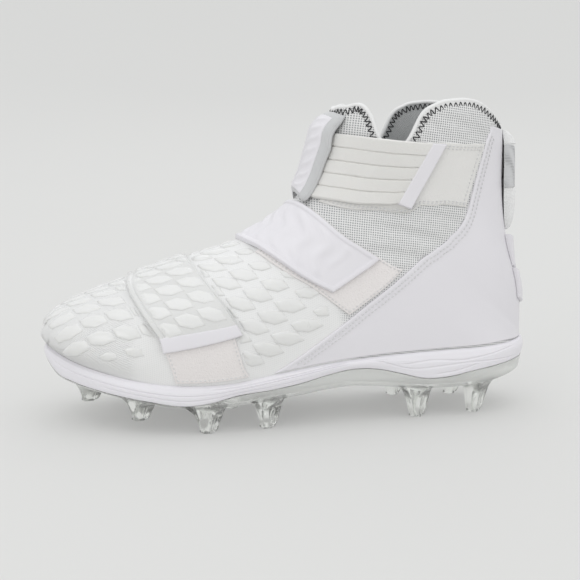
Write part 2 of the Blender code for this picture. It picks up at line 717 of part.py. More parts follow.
def add_counter(finish):
    """The overlay round the heel: an arm on each side, joined up the back.

    Its rows and columns are those of the upper, and its last columns follow its front edge.
    """
    knots = column(COLLAR, "round")[None]
    knots = knots[knots < column(COUNTER_EDGE, "round").max()]
    at = upper_rows(COUNTER_ROUND)[:, 0]
    kept = (at > COUNTER_EDGE[0].up) & (at < COUNTER_TOP)
    edge = smooth(column(COUNTER_EDGE, "up"), column(COUNTER_EDGE, "round"), at)[kept, None]
    base = COUNTER_BASE * np.clip((OPEN_TO - at[kept, None]) / COUNTER_RUN, 0, 1)
    reach = base + (edge - base) * (1 - COUNTER_SQUEEZE ** np.arange(len(knots)))
    outer_arm = np.column_stack([np.clip(knots, base, reach), edge])
    every = np.ones(len(outer_arm) - 1, bool)
    apart = open_steps(at[kept])
    arms = []
    inner_arm = 1 - outer_arm[:, ::-1]
    for round_, sides, mirrored in ((outer_arm, (apart, every), None), (inner_arm, (every, apart), 0)):
        rows = np.stack([upper_rows(r)[kept][k] for k, r in enumerate(round_[:, None])])
        outside = surface(rows, round_, CLEARANCE + COUNTER_THICKNESS)
        inside = surface(rows, round_, CLEARANCE)
        arms.append(slab(outside, inside, (True, True), sides, mirrored))
    return add_piece("heel_counter", *join(*arms), finish)


def ridge_slab(table, thickness, start):
    """A plate on the ridge, whose stand and thickness follow the table."""
    across = np.linspace(-1, 1, BAND_COLUMNS)[None]
    up, half, stand, thick = (column(table, n)[:, None] for n in Rib._fields)
    rows = up + 0 * across
    round_ = 0.5 + half * across
    lift = start + stand * thickness
    every = np.ones(len(table) - 1, bool)
    outside, inside = surface(rows, round_, lift + thick * thickness), surface(rows, round_, lift)
    return slab(outside, inside, (True, True), (every, every))


def back_slab(table, thickness, start, stand_size=None):
    """A strip down the back of the heel, in two halves, with stands in shares of a size."""
    table = table[::-1]
    stand_size = stand_size or thickness
    across = np.linspace(0, 1, 3)[None]
    up, half, stand, thick = (column(table, n)[:, None] for n in Rib._fields)
    rows = up + 0 * across
    lift = start + stand * stand_size
    every = np.ones(len(table) - 1, bool)
    none = ~every
    halves = []
    for round_, sides in ((half * across, (none, every)), (1 - half * across[:, ::-1], (every, none))):
        outside = surface(rows, round_, lift + thick * thickness)
        inside = surface(rows, round_, lift)
        halves.append(slab(outside, inside, (True, True), sides))
    return join(*halves)


def sole_stations(count=27):
    """Places along the sole, closer together at the round toe and heel."""
    turn = (1 - np.cos(np.linspace(0, np.pi, count))) / 2
    even = np.linspace(0, 1, count)
    return FEATHER_X[0] + (FEATHER_X[-1] - FEATHER_X[0]) * (0.75 * turn + 0.25 * even)


STATIONS = sole_stations()
RING_X = np.concatenate([STATIONS, STATIONS[-2:0:-1]])
RING_SIDE = np.array([OUTER] * len(STATIONS) + [INNER] * (len(STATIONS) - 2))


def ring_outline():
    """The outline as one closed ring from the toe along the outer side, and its outward normals."""
    y = np.where(RING_SIDE == OUTER, outline(RING_X, OUTER), outline(RING_X, INNER))
    ring = np.stack([RING_X, y], 1)
    tangent = np.roll(ring, -1, 0) - np.roll(ring, 1, 0)
    normal = np.stack([tangent[:, 1], -tangent[:, 0]], 1)
    return ring, normal / np.linalg.norm(normal, axis=1, keepdims=True)


RING, RING_NORMAL = ring_outline()


def ledge(x):
    """How far the sole stands out past the feather line, more at the toe and the heel."""
    toe = np.exp(-(((x - FEATHER_X[0]) / (0.10 * LENGTH)) ** 2))
    heel = np.exp(-(((x - FEATHER_X[-1]) / (0.10 * LENGTH)) ** 2))
    return LEDGE_SIDE + (LEDGE_TOE - LEDGE_SIDE) * toe + (LEDGE_HEEL - LEDGE_SIDE) * heel


def sole_ring(out, height):
    """A ring round the sole, out past the feather line by its own amount at each point."""
    return np.column_stack([RING + RING_NORMAL * np.asarray(out).reshape(-1, 1), height])


def stack(rings, upward=False):
    """Points and triangles of a solid with rings for its side, closed by rungs from side to side.

    The rings run downward or upward. Either way each four-sided face is split along the same
    diagonal, so that two pieces that share rings meet all over.
    """
    count = len(RING_X)
    last = len(STATIONS) - 1
    faces = []
    for k in range(len(rings) - 1):
        for i in range(count):
            j = (i + 1) % count
            a, b, c, d = k * count + i, (k + 1) * count + i, (k + 1) * count + j, k * count + j
            faces += [(b, c, d), (b, d, a)] if upward else [(a, b, c), (a, c, d)]
    end = (len(rings) - 1) * count
    for start, step in ((0, 1), (end, -1)):
        for i in range(last):
            a, b = start + i, start + i + 1
            c, d = start + (count - i - 1) % count, start + (count - i) % count
            faces += [t[::step] for t in ((a, b, c), (a, c, d)) if len(set(t)) == 3]
    return np.concatenate(rings), faces


def sole_heights(x):
    """Heights of the midsole's white edge and of the plate's clear edge."""
    knots = along(column(SOLE, "along"))
    white = smooth(knots, column(SOLE, "white") * BALL_LIFT, x)
    clear = smooth(knots, column(SOLE, "clear") * BALL_LIFT, x)
    return white, clear


def step_rings(x, gap):
    """The stepped surface where plate and midsole meet, gap over the plate's own: its rings."""
    white, clear = sole_heights(x)
    edge = ledge(x) + MIDSOLE_SIDE[-1].bulge * SIDE_BULGE
    rim = white - CLEARANCE
    floor = clear + PLATE_THICKNESS
    steep = np.hypot(1, (rim - floor) / RIM_SLOPE)
    return [
        sole_ring(edge, rim + gap),
        sole_ring(edge - RIM_WIDTH, rim + gap),
        sole_ring(edge - RIM_WIDTH - RIM_SLOPE, floor + gap * steep),
    ]


def add_midsole(finish):
    """The white sole: a ledge under the upper, ribbed sides, and an underside over the plate."""
    x = RING_X
    top = feather_height(x) - CLEARANCE
    white, _ = sole_heights(x)
    rings = []
    for side in MIDSOLE_SIDE:
        out = ledge(x) + side.bulge * SIDE_BULGE - side.groove * GROOVE_DEPTH
        rings.append(sole_ring(out, top + (white - top) * side.down))
    rings += step_rings(x, CLEARANCE)[1:]
    return add_piece("midsole", *stack(rings), finish)


def stud_mesh(stud):
    """Points and faces of one stud: a lobed cone that flares into the plate's underside."""
    turn = np.linspace(0, 2 * np.pi, STUD_SIDES, endpoint=False)
    root = along(stud.along)
    tip = stud.tip * BALL_LIFT
    x_tip, y_tip = root, float(centre_line(root)) + stud.across * BALL_WIDTH
    rings = []
    for shape in STUD_PROFILE:
        radius = STUD_TIP + (STUD_FLARE * stud.size - STUD_TIP) * shape.reach
        radius = radius * (1 + shape.lobe * np.cos(3 * turn))
        x = x_tip + stud.rake * STUD_FLARE * shape.reach + radius * np.cos(turn)
        y = y_tip + radius * np.sin(turn) * stud.blade
        edge = ledge(x) + MIDSOLE_SIDE[-1].bulge * SIDE_BULGE - RIM_WIDTH / 2
        y = np.clip(y, outline(x, OUTER) - edge, outline(x, INNER) + edge)
        white, clear = sole_heights(x)
        inside = np.minimum(PLATE_THICKNESS, white - CLEARANCE - clear) / 2
        z = tip + (clear + inside - tip) * shape.up
        rings.append(np.stack([x, y, z], 1))
    faces = [tuple(range(STUD_SIDES))[::-1]]
    for k in range(len(rings) - 1):
        for i in range(STUD_SIDES):
            j = (i + 1) % STUD_SIDES
            a, b = k * STUD_SIDES, (k + 1) * STUD_SIDES
            faces.append((a + i, a + j, b + j, b + i))
    faces.append(tuple((len(rings) - 1) * STUD_SIDES + i for i in range(STUD_SIDES)))
    return np.concatenate(rings), faces


def add_outsole(finish):
    """The clear plate, cupped up the sides at the arch and the heel, with its studs."""
    x = RING_X
    _, clear = sole_heights(x)
    edge = ledge(x) + MIDSOLE_SIDE[-1].bulge * SIDE_BULGE
    rings = step_rings(x, 0.0)[::-1]
    rings.append(sole_ring(edge - RIM_WIDTH / 2, clear))
    plate = add_piece("outsole_plate", *stack(rings, upward=True), finish)
    studs = add_piece("stud_shapes", *join(*(stud_mesh(stud) for stud in STUDS)), finish)
    studs.hide_render = True
    studs.display_type = "WIRE"
    union = plate.modifiers.new("studs", "BOOLEAN")
    union.operation = "UNION"
    union.solver = "EXACT"
    union.object = studs
    return plate


def add_insole(finish):
    """The insole, inside the wall of the upper, on the midsole."""
    x = RING_X
    toe = np.exp(-(((x - FEATHER_X[0]) / (0.06 * LENGTH)) ** 2))
    heel = np.exp(-(((x - FEATHER_X[-1]) / (0.06 * LENGTH)) ** 2))
    inset = UPPER_WALL + 3 * CLEARANCE + INSOLE_TOE_GAP * toe + INSOLE_HEEL_GAP * heel
    floor = feather_height(x)
    rings = [
        sole_ring(-inset - INSOLE_THICKNESS / 5, floor + INSOLE_THICKNESS),
        sole_ring(-inset, floor + INSOLE_THICKNESS * 0.8),
        sole_ring(-inset, floor),
    ]
    return add_piece("insole", *stack(rings), finish)


def centre_pieces():
    """Moves the empty that carries the pieces, so that they stand over the world's origin."""
    bpy.context.view_layer.update()
    corners = [
        np.array([v.co[:2] for v in piece.data.vertices])
        for piece in CLEAT.children
        if not piece.hide_render
    ]
    low = np.min([c.min(0) for c in corners], axis=0)
    high = np.max([c.max(0) for c in corners], axis=0)
    CLEAT.location = (*(-(low + high) / 2), 0)


for thing in list(bpy.data.objects):
    bpy.data.objects.remove(thing)

CLEAT = bpy.data.objects.new("cleat", None)
bpy.context.scene.collection.objects.link(CLEAT)

knit = material("white_knit", (0.80, 0.80, 0.79), 0.6)
foam = material("white_foam", (0.78, 0.77, 0.81), 0.45)
clear_plastic = material("clear_plastic", (0.80, 0.84, 0.80), 0.15, 0.8)
lining = material("grey_lining", (0.45, 0.46, 0.45), 0.85)
synthetic = material("smooth_synthetic", (0.77, 0.76, 0.79), 0.4)
webbing = material("cream_webbing", (0.78, 0.77, 0.74), 0.75)
fleece = material("fleece", (0.74, 0.71, 0.70), 0.9)
grey_webbing = material("grey_webbing", (0.55, 0.56, 0.57), 0.8)

add_upper(knit)
add_midsole(foam)
add_outsole(clear_plastic)
add_insole(lining)
add_counter(synthetic)

add_band("forefoot_patch", FOREFOOT_PATCH, PATCH_THICKNESS, fleece)
add_band("forefoot_strap", FOREFOOT_STRAP, STRAP_THICKNESS, knit)
add_band("forefoot_strap_tip", FOREFOOT_TIP, STRAP_THICKNESS, synthetic)
add_band("midfoot_patch", MIDFOOT_PATCH, PATCH_THICKNESS, fleece)
add_band("midfoot_strap", MIDFOOT_STRAP, STRAP_THICKNESS, synthetic)
add_band("midfoot_strap_tip", MIDFOOT_TIP, STRAP_THICKNESS, synthetic)
add_band("ankle_patch", ANKLE_PATCH, PATCH_THICKNESS, webbing)
add_band("ankle_strap", ANKLE_STRAP, STRAP_THICKNESS, webbing)
add_band("ankle_strap_tip", ANKLE_TIP, STRAP_THICKNESS, synthetic)

over_counter = COUNTER_THICKNESS + CLEARANCE + BAND_CLEARANCE
add_piece("tongue_plate", *ridge_slab(TONGUE_PLATE, TONGUE_PLATE_THICKNESS, CLEARANCE), grey_webbing)
add_piece("pull_tab", *back_slab(PULL_TAB, PULL_TAB_THICKNESS, over_counter), fleece)
band_slab = back_slab(PULL_TAB_BAND, BAND_THICKNESS, over_counter + CLEARANCE, PULL_TAB_THICKNESS)
add_piece("pull_tab_band", *band_slab, grey_webbing)
add_piece("heel_tab_upper", *back_slab(HEEL_TAB_UPPER, HEEL_TAB_THICKNESS, over_counter), synthetic)
add_piece("heel_tab_lower", *back_slab(HEEL_TAB_LOWER, HEEL_TAB_THICKNESS, over_counter), synthetic)

centre_pieces()
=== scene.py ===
"""The look of a high-top american football cleat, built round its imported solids.

The boot is one surface worked out from sections that fan from the toe over the instep to the
collar, with the same tables as the solids. Each piece is a grid of places up the fan and round
the girth, moved out along the surface's normal.
"""
import json
from collections import namedtuple

import bmesh
import bpy
import numpy as np
from bpy.props import FloatProperty, FloatVectorProperty, PointerProperty
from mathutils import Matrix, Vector

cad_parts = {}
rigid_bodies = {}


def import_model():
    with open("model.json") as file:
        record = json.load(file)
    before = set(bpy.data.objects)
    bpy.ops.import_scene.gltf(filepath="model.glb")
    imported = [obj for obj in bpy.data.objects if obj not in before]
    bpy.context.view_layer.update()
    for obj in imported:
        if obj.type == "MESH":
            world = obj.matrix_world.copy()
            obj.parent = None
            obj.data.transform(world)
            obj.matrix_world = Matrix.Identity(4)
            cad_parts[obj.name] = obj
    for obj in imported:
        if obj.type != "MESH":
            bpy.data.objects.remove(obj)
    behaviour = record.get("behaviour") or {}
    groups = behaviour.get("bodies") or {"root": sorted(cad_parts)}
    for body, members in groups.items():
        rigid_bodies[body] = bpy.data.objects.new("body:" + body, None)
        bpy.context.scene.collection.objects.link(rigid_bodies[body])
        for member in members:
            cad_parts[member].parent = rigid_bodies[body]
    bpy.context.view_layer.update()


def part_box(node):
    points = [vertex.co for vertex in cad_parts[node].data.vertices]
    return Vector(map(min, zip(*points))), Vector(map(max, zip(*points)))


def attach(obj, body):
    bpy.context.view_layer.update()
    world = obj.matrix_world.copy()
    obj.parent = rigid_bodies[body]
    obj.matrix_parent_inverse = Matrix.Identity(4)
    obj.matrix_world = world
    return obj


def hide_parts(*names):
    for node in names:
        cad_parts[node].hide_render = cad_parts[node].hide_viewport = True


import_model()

bl_info = {
    "name": "Football cleat",
    "version": (1, 0, 0),
    "blender": (4, 5, 0),
    "location": "3D View > Sidebar > Cleat",
    "description": "Builds the knit, scales, straps, stitches, foam sole and clear studs of a cleat",
    "category": "Add Mesh",
}


def table_of(kind, *rows):
    """A table: rows of one kind, whose columns have names."""
    return [kind(*row) for row in rows]


# Driving sizes of the last
LENGTH = 0.312
BALL_WIDTH = 0.104
ANKLE_WIDTH = 0.073
TOE_HEIGHT = 0.050
INSTEP_HEIGHT = 0.096
COLLAR_HEIGHT = 0.196
BALL_LIFT = 0.030
HEEL_LIFT = 0.046
TOE_LIFT = 0.0475
SWING = 0.012
TOE_ROUND_OUTER = 0.085
TOE_ROUND_INNER = 0.055
HEEL_ROUND = 0.042

# Walls and clearances
UPPER_WALL = 0.0025
INSOLE_THICKNESS = 0.0035
INSOLE_TOE_GAP = 0.0030
INSOLE_HEEL_GAP = 0.0020
PATCH_THICKNESS = 0.0008
STRAP_THICKNESS = 0.0022
COUNTER_THICKNESS = 0.0010
TONGUE_PLATE_THICKNESS = 0.0035
PULL_TAB_THICKNESS = 0.0070
HEEL_TAB_THICKNESS = 0.0045
CLEARANCE = 0.0003
BAND_CLEARANCE = 0.0005

# Sole
PLATE_THICKNESS = 0.0022
RIM_WIDTH = 0.0026
RIM_SLOPE = 0.0030
LEDGE_SIDE = 0.0014
LEDGE_TOE = 0.0014
LEDGE_HEEL = 0.0016
SIDE_BULGE = 0.0016
STUD_TIP = 0.0050
STUD_FLARE = 0.0125

TOE_X = -LENGTH / 2
OUTER, INNER = -1, 1

# The feather line, where upper and sole meet. Along is a share of the length. Toe and heel
# say how far its height goes from that at the ball to those at toe and heel. Outer and inner
# are the reach from the centre line, in ball widths.
Feather = namedtuple("Feather", "along toe heel outer inner")
FEATHER = table_of(
    Feather, (0.015, 0.95, 0.00, 0.395, 0.330), (0.060, 0.64, 0.00, 0.430, 0.385),
    (0.120, 0.355, 0.00, 0.452, 0.425), (0.200, 0.09, 0.00, 0.474, 0.450),
    (0.280, -0.02, 0.00, 0.484, 0.458), (0.360, 0.00, 0.01, 0.478, 0.440),
    (0.450, 0.00, 0.26, 0.442, 0.385), (0.550, 0.00, 0.51, 0.400, 0.330),
    (0.650, 0.00, 0.675, 0.370, 0.315), (0.780, 0.00, 0.80, 0.352, 0.325),
    (0.880, 0.00, 0.875, 0.345, 0.330), (0.985, 0.00, 1.00, 0.335, 0.330),
)

# Sections of the boot, each a plane from its foot, on the feather line or up the back of the
# heel, to its top on the ridge. Top and foot are shares of the length. Rise and lift are the
# heights of top and foot: in toe heights or instep heights over the feather line, and in
# collar heights over the floor. Outer and inner are half widths, in ball or ankle widths.
# Ridge is the sideways place of the top in swings, widest the level of the full width, and
# square the fullness of the shoulder over it, where 2 is an ellipse.
Section = namedtuple("Section", "top rise foot lift outer inner ridge widest square")
TOE_SECTIONS = table_of(
    Section, (0.000, 0.134, 0.000, 0.134, 0.000, 0.000, 0.75, 0.45, 2.0),
    (0.005, 0.254, 0.006, 0.024, 0.125, 0.106, 0.75, 0.40, 2.0),
    (0.018, 0.365, 0.016, None, 0.221, 0.183, 0.75, 0.34, 2.1),
    (0.042, 0.543, 0.042, None, 0.317, 0.269, 0.71, 0.30, 2.2),
    (0.084, 0.758, 0.084, None, 0.404, 0.356, 0.63, 0.28, 2.25),
    (0.143, 0.986, 0.143, None, 0.471, 0.428, 0.50, 0.27, 2.25),
)
FOOT_SECTIONS = table_of(
    Section, (0.214, 0.620, 0.214, None, 0.510, 0.466, 0.42, 0.26, 2.2),
    (0.292, 0.728, 0.292, None, 0.519, 0.466, 0.37, 0.25, 2.1),
    (0.369, 0.799, 0.370, None, 0.500, 0.433, 0.33, 0.25, 1.95),
    (0.439, 0.865, 0.451, None, 0.462, 0.385, 0.25, 0.26, 1.9),
    (0.493, 0.952, 0.549, None, 0.423, 0.356, 0.17, 0.28, 1.9),
    (0.525, 1.048, 0.662, None, 0.389, 0.341, 0.08, 0.32, 2.0),
)
SHAFT_SECTIONS = table_of(
    Section, (0.5430, 0.776, 0.785, None, 0.527, 0.486, 0.04, 0.36, 2.05),
    (0.5550, 0.827, 0.895, None, 0.507, 0.486, 0.00, 0.40, 2.1),
    (0.5640, 0.867, 0.985, None, 0.500, 0.486, 0.00, 0.43, 2.15),
    (0.5720, 0.903, 0.982, 0.367, 0.493, 0.486, 0.00, 0.45, 2.2),
    (0.5790, 0.939, 0.951, 0.546, 0.493, 0.486, 0.00, 0.46, 2.2),
    (0.5850, 0.974, 0.937, 0.714, 0.500, 0.493, 0.00, 0.47, 2.25),
    (0.5905, 1.005, 0.935, 0.878, 0.507, 0.500, 0.00, 0.48, 2.3),
    (0.5960, 1.036, 0.930, 1.020, 0.514, 0.507, 0.00, 0.48, 2.3),
)
# How far up the fan the last section counts whose foot lies on the feather line. Places up
# the fan run from 0 at the toe to 1 past the collar.
HEEL_CORNER = 0.724
# How far up the fan, to either side of the heel's corner, the turn of the sections is eased
CORNER_EASE = 0.045
# How much of a section's half width its base on the feather line may reach.
WIDEST_BASE = 0.965

# The edge of the collar. Round goes from 0 at the back to 0.5 at the front of the ankle,
# and height is the share of the fan of sections: the flap at the back, the notch, the tongue.
Collar = namedtuple("Collar", "round height")
COLLAR = table_of(
    Collar, (0.000, 0.963), (0.030, 0.964), (0.062, 0.969), (0.100, 0.978), (0.150, 0.988), (0.205, 0.987),
    (0.245, 0.977), (0.278, 0.950), (0.300, 0.899), (0.333, 0.856), (0.368, 0.864), (0.379, 0.902),
    (0.391, 0.928), (0.450, 0.918), (0.500, 0.893),
)

# The sides of the sole. White is the lower edge of the midsole and clear that of the plate,
# both in ball lifts over the floor.
Sole = namedtuple("Sole", "along white clear")
SOLE = table_of(
    Sole, (0.015, 1.320, 1.285), (0.035, 1.090, 1.055), (0.070, 0.955, 0.920), (0.120, 0.840, 0.805),
    (0.200, 0.700, 0.665), (0.280, 0.600, 0.560), (0.320, 0.650, 0.548), (0.370, 0.775, 0.560),
    (0.440, 0.845, 0.610), (0.500, 0.940, 0.680), (0.550, 1.060, 0.750), (0.600, 1.145, 0.785),
    (0.650, 1.120, 0.750), (0.700, 1.000, 0.690), (0.750, 0.870, 0.650), (0.800, 0.875, 0.640),
    (0.860, 0.995, 0.680), (0.930, 1.100, 0.800), (0.985, 1.170, 0.920),
)
# Profile of the midsole's side from the ledge down to the white edge: bulge in side bulges
# past the ledge.
Side = namedtuple("Side", "down bulge")
MIDSOLE_SIDE = table_of(
    Side, (0.00, 0.00), (0.08, 0.45), (0.30, 0.95), (0.35, 0.95), (0.40, 1.00), (0.60, 0.90),
    (0.65, 0.85), (0.70, 0.80), (1.00, 0.30),
)

# Studs: along in lengths, across in ball widths, tip in ball lifts over the floor, size in
# flares, rake the shift of the root towards the heel in flares, and blade its narrowness.
Stud = namedtuple("Stud", "along across tip size rake blade")
STUDS = table_of(
    Stud, (0.092, -0.215, 0.52, 0.85, 0.05, 1.0), (0.085, 0.180, 0.52, 0.85, 0.05, 1.0),
    (0.187, -0.370, 0.24, 0.95, 0.00, 1.0), (0.165, 0.345, 0.27, 0.95, 0.00, 1.0),
    (0.315, -0.430, 0.00, 1.15, -0.12, 1.0), (0.300, 0.400, 0.00, 1.15, -0.12, 1.0),
    (0.432, -0.375, 0.00, 0.95, 0.00, 1.0), (0.420, 0.330, 0.00, 0.95, 0.00, 1.0),
    (0.372, -0.060, 0.13, 0.80, 0.00, 0.45), (0.742, -0.285, 0.00, 1.00, -0.14, 1.0),
    (0.742, 0.255, 0.00, 1.00, -0.14, 1.0), (0.868, -0.235, 0.00, 0.95, 0.25, 1.0),
    (0.868, 0.220, 0.00, 0.95, 0.25, 1.0),
)
# Profile of a stud: up is the share of its height, reach goes from the tip's radius, 0, to
# the flare's, 1, and lobe is the depth of its three ribs.
Shape = namedtuple("Shape", "up reach lobe")
STUD_PROFILE = table_of(
    Shape, (0.00, 0.00, 0.00), (0.05, 0.04, 0.08), (0.45, 0.22, 0.16), (0.75, 0.50, 0.12),
    (1.00, 1.00, 0.00),
)

# Edges of straps and patches on the boot: up is the share of the fan of sections and round
# that of the girth, from the outer feather line at 0 over the ridge at 0.5 to the inner one
# at 1. Over is 1 where the piece lies on a patch and 0 where it lies on the upper.
Band = namedtuple("Band", "low_up low_round high_up high_round over")
FOREFOOT_PATCH = table_of(
    Band, (0.249, 0.010, 0.371, 0.014, 0), (0.243, 0.050, 0.362, 0.045, 0), (0.234, 0.100, 0.355, 0.085, 0),
    (0.225, 0.150, 0.346, 0.140, 0), (0.212, 0.190, 0.335, 0.190, 0),
)
FOREFOOT_TIP = table_of(
    Band, (0.230, 0.103, 0.360, 0.133, 1), (0.227, 0.127, 0.355, 0.150, 1), (0.223, 0.150, 0.350, 0.166, 1),
)
FOREFOOT_STRAP = table_of(
    Band, (0.2225, 0.152, 0.3495, 0.168, 1), (0.207, 0.195, 0.333, 0.215, 1),
    (0.192, 0.250, 0.316, 0.265, 0), (0.180, 0.320, 0.298, 0.330, 0), (0.176, 0.390, 0.287, 0.400, 0),
    (0.178, 0.450, 0.283, 0.450, 0), (0.180, 0.500, 0.283, 0.500, 0), (0.180, 0.550, 0.284, 0.550, 0),
    (0.180, 0.620, 0.287, 0.620, 0), (0.184, 0.700, 0.294, 0.700, 0), (0.190, 0.780, 0.301, 0.780, 0),
    (0.196, 0.860, 0.306, 0.860, 0), (0.200, 0.960, 0.308, 0.960, 0),
)
MIDFOOT_PATCH = table_of(
    Band, (0.534, 0.120, 0.642, 0.204, 0), (0.520, 0.150, 0.632, 0.217, 0), (0.505, 0.180, 0.622, 0.237, 0),
    (0.485, 0.217, 0.606, 0.268, 0), (0.458, 0.255, 0.583, 0.310, 0), (0.424, 0.312, 0.560, 0.368, 0),
    (0.397, 0.372, 0.540, 0.418, 0),
)
MIDFOOT_TIP = table_of(
    Band, (0.522, 0.177, 0.620, 0.230, 1), (0.518, 0.184, 0.618, 0.237, 1), (0.514, 0.191, 0.616, 0.244, 1),
)
MIDFOOT_STRAP = table_of(
    Band, (0.513, 0.1925, 0.6155, 0.2455, 1), (0.492, 0.219, 0.603, 0.270, 1),
    (0.465, 0.258, 0.580, 0.312, 1), (0.432, 0.316, 0.557, 0.370, 1), (0.404, 0.375, 0.537, 0.420, 1),
    (0.384, 0.435, 0.520, 0.465, 0), (0.374, 0.500, 0.508, 0.510, 0), (0.376, 0.560, 0.501, 0.565, 0),
    (0.384, 0.640, 0.500, 0.640, 0), (0.396, 0.720, 0.507, 0.720, 0), (0.410, 0.800, 0.518, 0.795, 0),
    (0.422, 0.870, 0.530, 0.850, 0),
)
ANKLE_PATCH = table_of(
    Band, (0.8345, 0.178, 0.936, 0.126, 0), (0.812, 0.230, 0.926, 0.180, 0),
    (0.785, 0.268, 0.914, 0.235, 0), (0.765, 0.293, 0.896, 0.280, 0), (0.725, 0.313, 0.866, 0.308, 0),
    (0.683, 0.333, 0.843, 0.345, 0), (0.642, 0.352, 0.835, 0.374, 0), (0.600, 0.382, 0.808, 0.410, 0),
    (0.572, 0.410, 0.765, 0.438, 0),
)
ANKLE_TIP = table_of(
    Band, (0.745, 0.307, 0.915, 0.223, 1), (0.738, 0.318, 0.911, 0.239, 1), (0.731, 0.329, 0.907, 0.254, 1),
)
ANKLE_STRAP = table_of(
    Band, (0.730, 0.3305, 0.9065, 0.256, 1), (0.705, 0.338, 0.896, 0.290, 1),
    (0.680, 0.347, 0.884, 0.320, 1), (0.650, 0.362, 0.871, 0.350, 1), (0.620, 0.383, 0.852, 0.385, 1),
    (0.588, 0.405, 0.828, 0.420, 1), (0.563, 0.430, 0.797, 0.455, 0.4), (0.548, 0.465, 0.775, 0.480, 0),
    (0.545, 0.500, 0.768, 0.503, 0), (0.548, 0.535, 0.775, 0.525, 0), (0.563, 0.570, 0.797, 0.555, 0),
    (0.588, 0.597, 0.826, 0.585, 0), (0.620, 0.620, 0.850, 0.617, 0), (0.655, 0.640, 0.872, 0.652, 0),
    (0.695, 0.665, 0.890, 0.690, 0), (0.725, 0.690, 0.903, 0.725, 0), (0.750, 0.715, 0.912, 0.765, 0),
)

# The front edge of the heel counter, the same on both sides
Edge = namedtuple("Edge", "up round")
COUNTER_EDGE = table_of(
    Edge, (0.414, 0.006), (0.453, 0.037), (0.510, 0.088), (0.565, 0.138), (0.642, 0.194), (0.698, 0.225),
    (HEEL_CORNER, 0.236), (0.750, 0.232), (0.785, 0.208), (0.828, 0.176), (0.863, 0.158), (0.915, 0.133),
    (0.943, 0.118), (0.955, 0.106),
)
# Its lower edge, how far ahead of the heel it rises to that, and its top
COUNTER_BASE = 0.006
COUNTER_RUN = 0.03
COUNTER_TOP = 0.960

# Pieces that stand on the ridge or down the back. Half is their half width as a share of the
# girth, stand the gap under them and thick their thickness, as shares of the full thickness.
Rib = namedtuple("Rib", "up half stand thick")
TONGUE_PLATE = table_of(
    Rib, (0.535, 0.066, 0.80, 0.50), (0.548, 0.074, 0.86, 0.80), (0.575, 0.070, 0.90, 0.90),
    (0.620, 0.060, 1.02, 0.95), (0.670, 0.050, 1.20, 1.00), (0.720, 0.044, 1.38, 1.00),
    (0.770, 0.042, 1.50, 1.00), (0.815, 0.047, 1.05, 1.00), (0.850, 0.055, 0.54, 0.90),
    (0.880, 0.060, 0.07, 0.60),
)
PULL_TAB = table_of(
    Rib, (0.960, 0.036, 0.00, 0.30), (0.953, 0.042, 0.05, 0.75), (0.944, 0.045, 0.14, 1.00),
    (0.943, 0.045, 0.14, 0.84), (0.917, 0.045, 0.22, 0.84), (0.893, 0.045, 0.20, 0.84),
    (0.892, 0.045, 0.20, 1.00), (0.874, 0.045, 0.12, 0.95), (0.858, 0.043, 0.04, 0.75),
    (0.847, 0.038, 0.00, 0.35),
)
# The band fills the shallow recess of the pull tab, whose floor its stands repeat.
PULL_TAB_BAND = table_of(
    Rib, (0.9425, 0.045, 0.98, 1.0), (0.917, 0.045, 1.06, 1.0), (0.8935, 0.045, 1.04, 1.0),
)
HEEL_TAB_UPPER = table_of(
    Rib, (0.838, 0.052, 0.00, 1.00), (0.820, 0.052, 0.00, 0.70), (0.801, 0.050, 0.00, 0.30),
)
HEEL_TAB_LOWER = table_of(
    Rib, (0.798, 0.052, 0.00, 0.62), (0.780, 0.052, 0.00, 0.55), (0.762, 0.050, 0.00, 0.40),
)


def along(share):
    """Place along the shoe of a share of its length."""
    return TOE_X + np.asarray(share, float) * LENGTH


def column(table, name):
    """One named column of a table, as an array."""
    return np.array([getattr(row, name) for row in table], float)


def columns_of(table):
    """All columns of a table, as arrays in the order of their names."""
    return np.array(table, float).T


def smooth(knots, values, at, corner=None):
    """Cubic Hermite curve through the values, with the slopes of a parabola through neighbours.

    A corner is the index of a knot where the curve may turn sharply.
    """
    if corner is not None:
        before = smooth(knots[: corner + 1], values[: corner + 1], at)
        after = smooth(knots[corner:], values[corner:], at)
        return np.where(at <= knots[corner], before, after)
    slope = np.gradient(values, knots)
    at = np.asarray(at, float)
    i = np.clip(np.searchsorted(knots, at, side="right") - 1, 0, len(knots) - 2)
    step = knots[i + 1] - knots[i]
    s = np.clip((at - knots[i]) / step, 0, 1)
    ease = s * s * (3 - 2 * s)
    start = s * (1 - s) ** 2 * slope[i] * step
    end = s * s * (s - 1) * slope[i + 1] * step
    return values[i] + (values[i + 1] - values[i]) * ease + start + end


FEATHER_X = along(column(FEATHER, "along"))
FEATHER_Z = (
    BALL_LIFT
    + column(FEATHER, "toe") * (TOE_LIFT - BALL_LIFT)
    + column(FEATHER, "heel") * (HEEL_LIFT - BALL_LIFT)
)


def feather_height(x):
    """Height of the feather line."""
    return smooth(FEATHER_X, FEATHER_Z, x)


def centre_line(x):
    """The curve of the sole's middle: the toe swings inwards."""
    bend = 0.42
    share = (x - TOE_X) / LENGTH
    return SWING * np.clip((bend - share) / bend, 0, 1) ** 2


def rounded(distance, radius, power):
    """Rise from 0 to 1 of a round end, over its radius."""
    q = np.clip(distance / radius, 0, 1)
    return (1 - (1 - q) ** power) ** (1 / power)


def outline(x, side):
    """Sideways place of the feather line, with a round toe and heel."""
    name = "outer" if side == OUTER else "inner"
    toe_round = TOE_ROUND_OUTER if side == OUTER else TOE_ROUND_INNER
    width = smooth(FEATHER_X, column(FEATHER, name) * BALL_WIDTH, x)
    width = width * rounded(x - FEATHER_X[0], toe_round, 2.2)
    width = width * rounded(FEATHER_X[-1] - x, HEEL_ROUND, 2.1)
    return centre_line(x) + side * width


